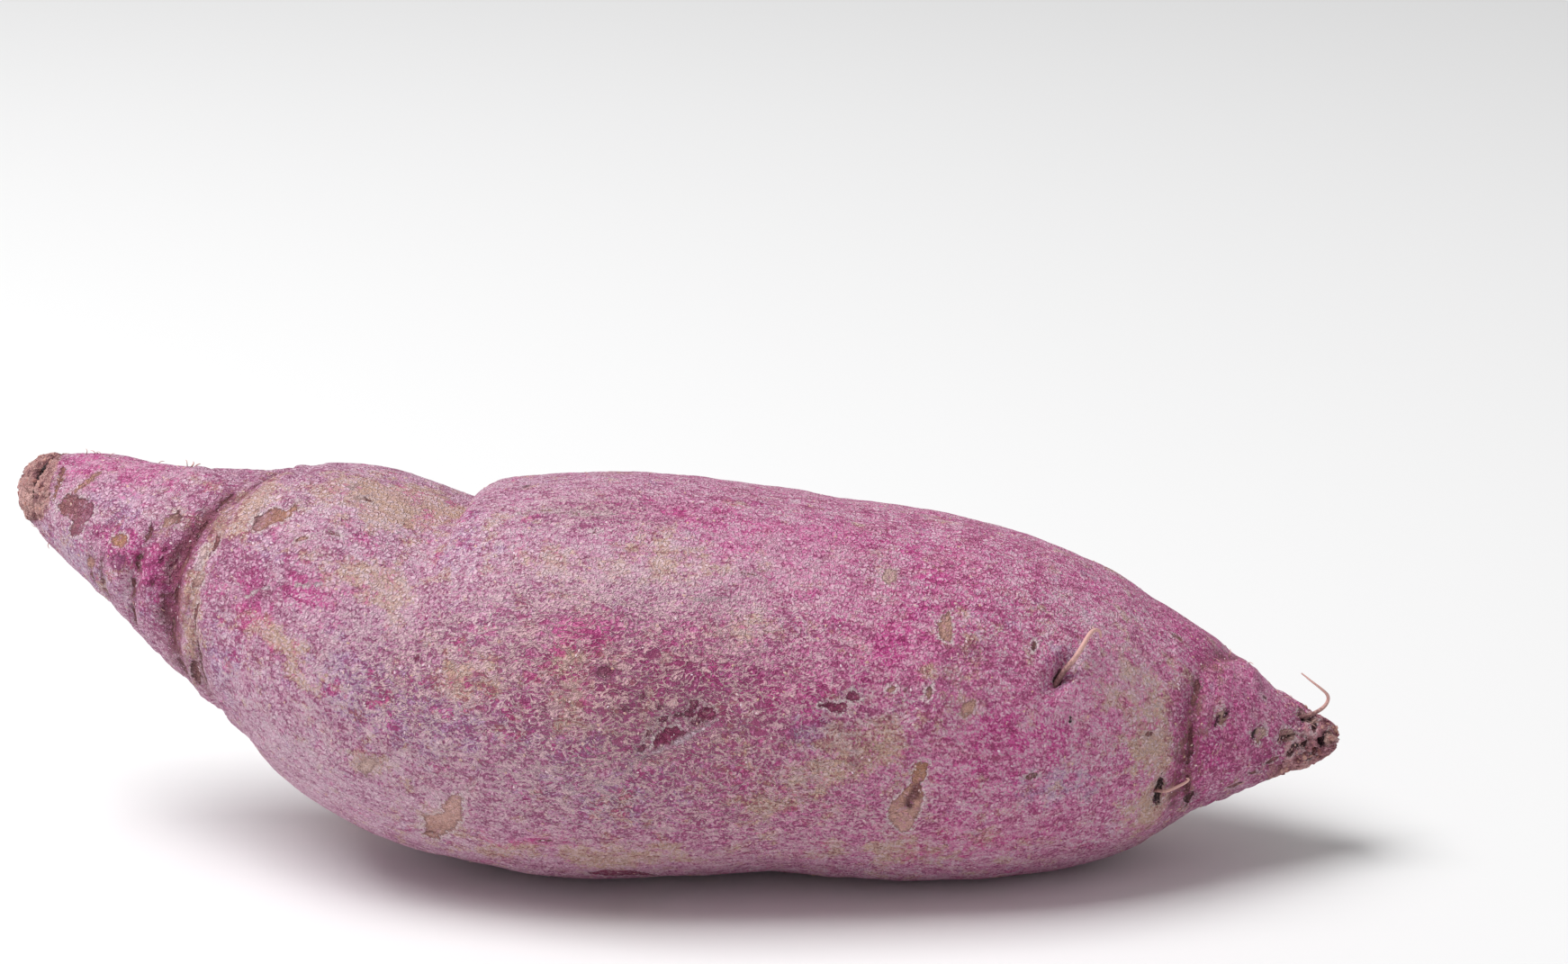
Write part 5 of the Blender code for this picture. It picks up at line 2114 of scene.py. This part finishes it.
@dataclass
class Studio:
    """Pale floor, soft lights and the camera at the photograph's angle."""

    form: RootForm
    elevation: float = 16.0
    lens: float = 100.0
    distance: float = 0.55
    aim: tuple = (13.6, 0, 51.9)
    floor_radius: float = 4.0
    floor_corners: int = 64
    sky: float = 0.38
    lamps: tuple = (Lamp("key", -80, 62, 1.3, 0.8, 16.6),)

    def camera(self) -> None:
        """Puts the camera in front of the root, looking a little down."""
        turn = math.radians(self.elevation)
        target = (np.array(self.aim) + self.form.set_down) * MM
        back = np.array([0.0, -math.cos(turn), math.sin(turn)])
        data = bpy.data.cameras.new("camera")
        data.lens = self.lens
        data.clip_start = 0.01
        camera = placed("camera", data)
        camera.location = target + back * self.distance
        camera.rotation_euler = (math.pi / 2 - turn, 0.0, 0.0)
        bpy.context.scene.camera = camera

    def floor(self) -> None:
        """A large flat disc that the root lies on."""
        count = self.floor_corners
        turns = [2 * math.pi * k / count for k in range(count)]
        rim = [
            (self.floor_radius * math.cos(turn), self.floor_radius * math.sin(turn), 0.0)
            for turn in turns
        ]
        mesh = bpy.data.meshes.new("floor")
        mesh.from_pydata(rim, [], [tuple(range(count))])
        mesh.materials.append(FloorFinish().material())
        placed("floor", mesh)

    def lamp(self, lamp: Lamp) -> None:
        """Puts up a square soft light that faces the root.

        Args:
            lamp: the light.
        """
        data = bpy.data.lights.new(lamp.name, "AREA")
        data.shape = "SQUARE"
        data.size = lamp.size
        data.energy = lamp.watts
        turn, rise = math.radians(lamp.azimuth), math.radians(lamp.elevation)
        way = Vector(
            (math.sin(turn) * math.cos(rise), -math.cos(turn) * math.cos(rise), math.sin(rise))
        )
        made = placed(lamp.name, data)
        made.location = way * lamp.distance
        made.rotation_euler = way.to_track_quat("Z", "Y").to_euler()

    def world(self) -> None:
        """Even pale light from all round."""
        world = bpy.data.worlds.new("studio")
        world.use_nodes = True
        graph = Graph(world.node_tree)
        world.node_tree.nodes.clear()
        sockets = {"Color": (1.0, 1.0, 1.0, 1.0), "Strength": self.sky}
        light = graph.out("ShaderNodeBackground", {}, sockets)
        graph.node("ShaderNodeOutputWorld", {}, {"Surface": light})
        bpy.context.scene.world = world

    def build(self) -> None:
        """Sets up the whole studio."""
        self.camera()
        self.floor()
        for lamp in self.lamps:
            self.lamp(lamp)
        self.world()
        bpy.context.scene.view_settings.view_transform = "Standard"
        log.info("studio ready")


def main() -> None:
    """Builds the root's pieces in order, then the studio round them."""
    logging.basicConfig(level=logging.INFO, format="%(name)s: %(message)s")
    form = RootForm()
    log.info("form set down by %s mm", np.round(form.set_down, 3))
    skin = Skin(form, Scars(form), Tints(form)).build()
    Rootlets(form).build()
    Hairs(form).build()
    Crumbs(skin).build()
    Studio(form).build()


if __name__ == "__main__":
    main()
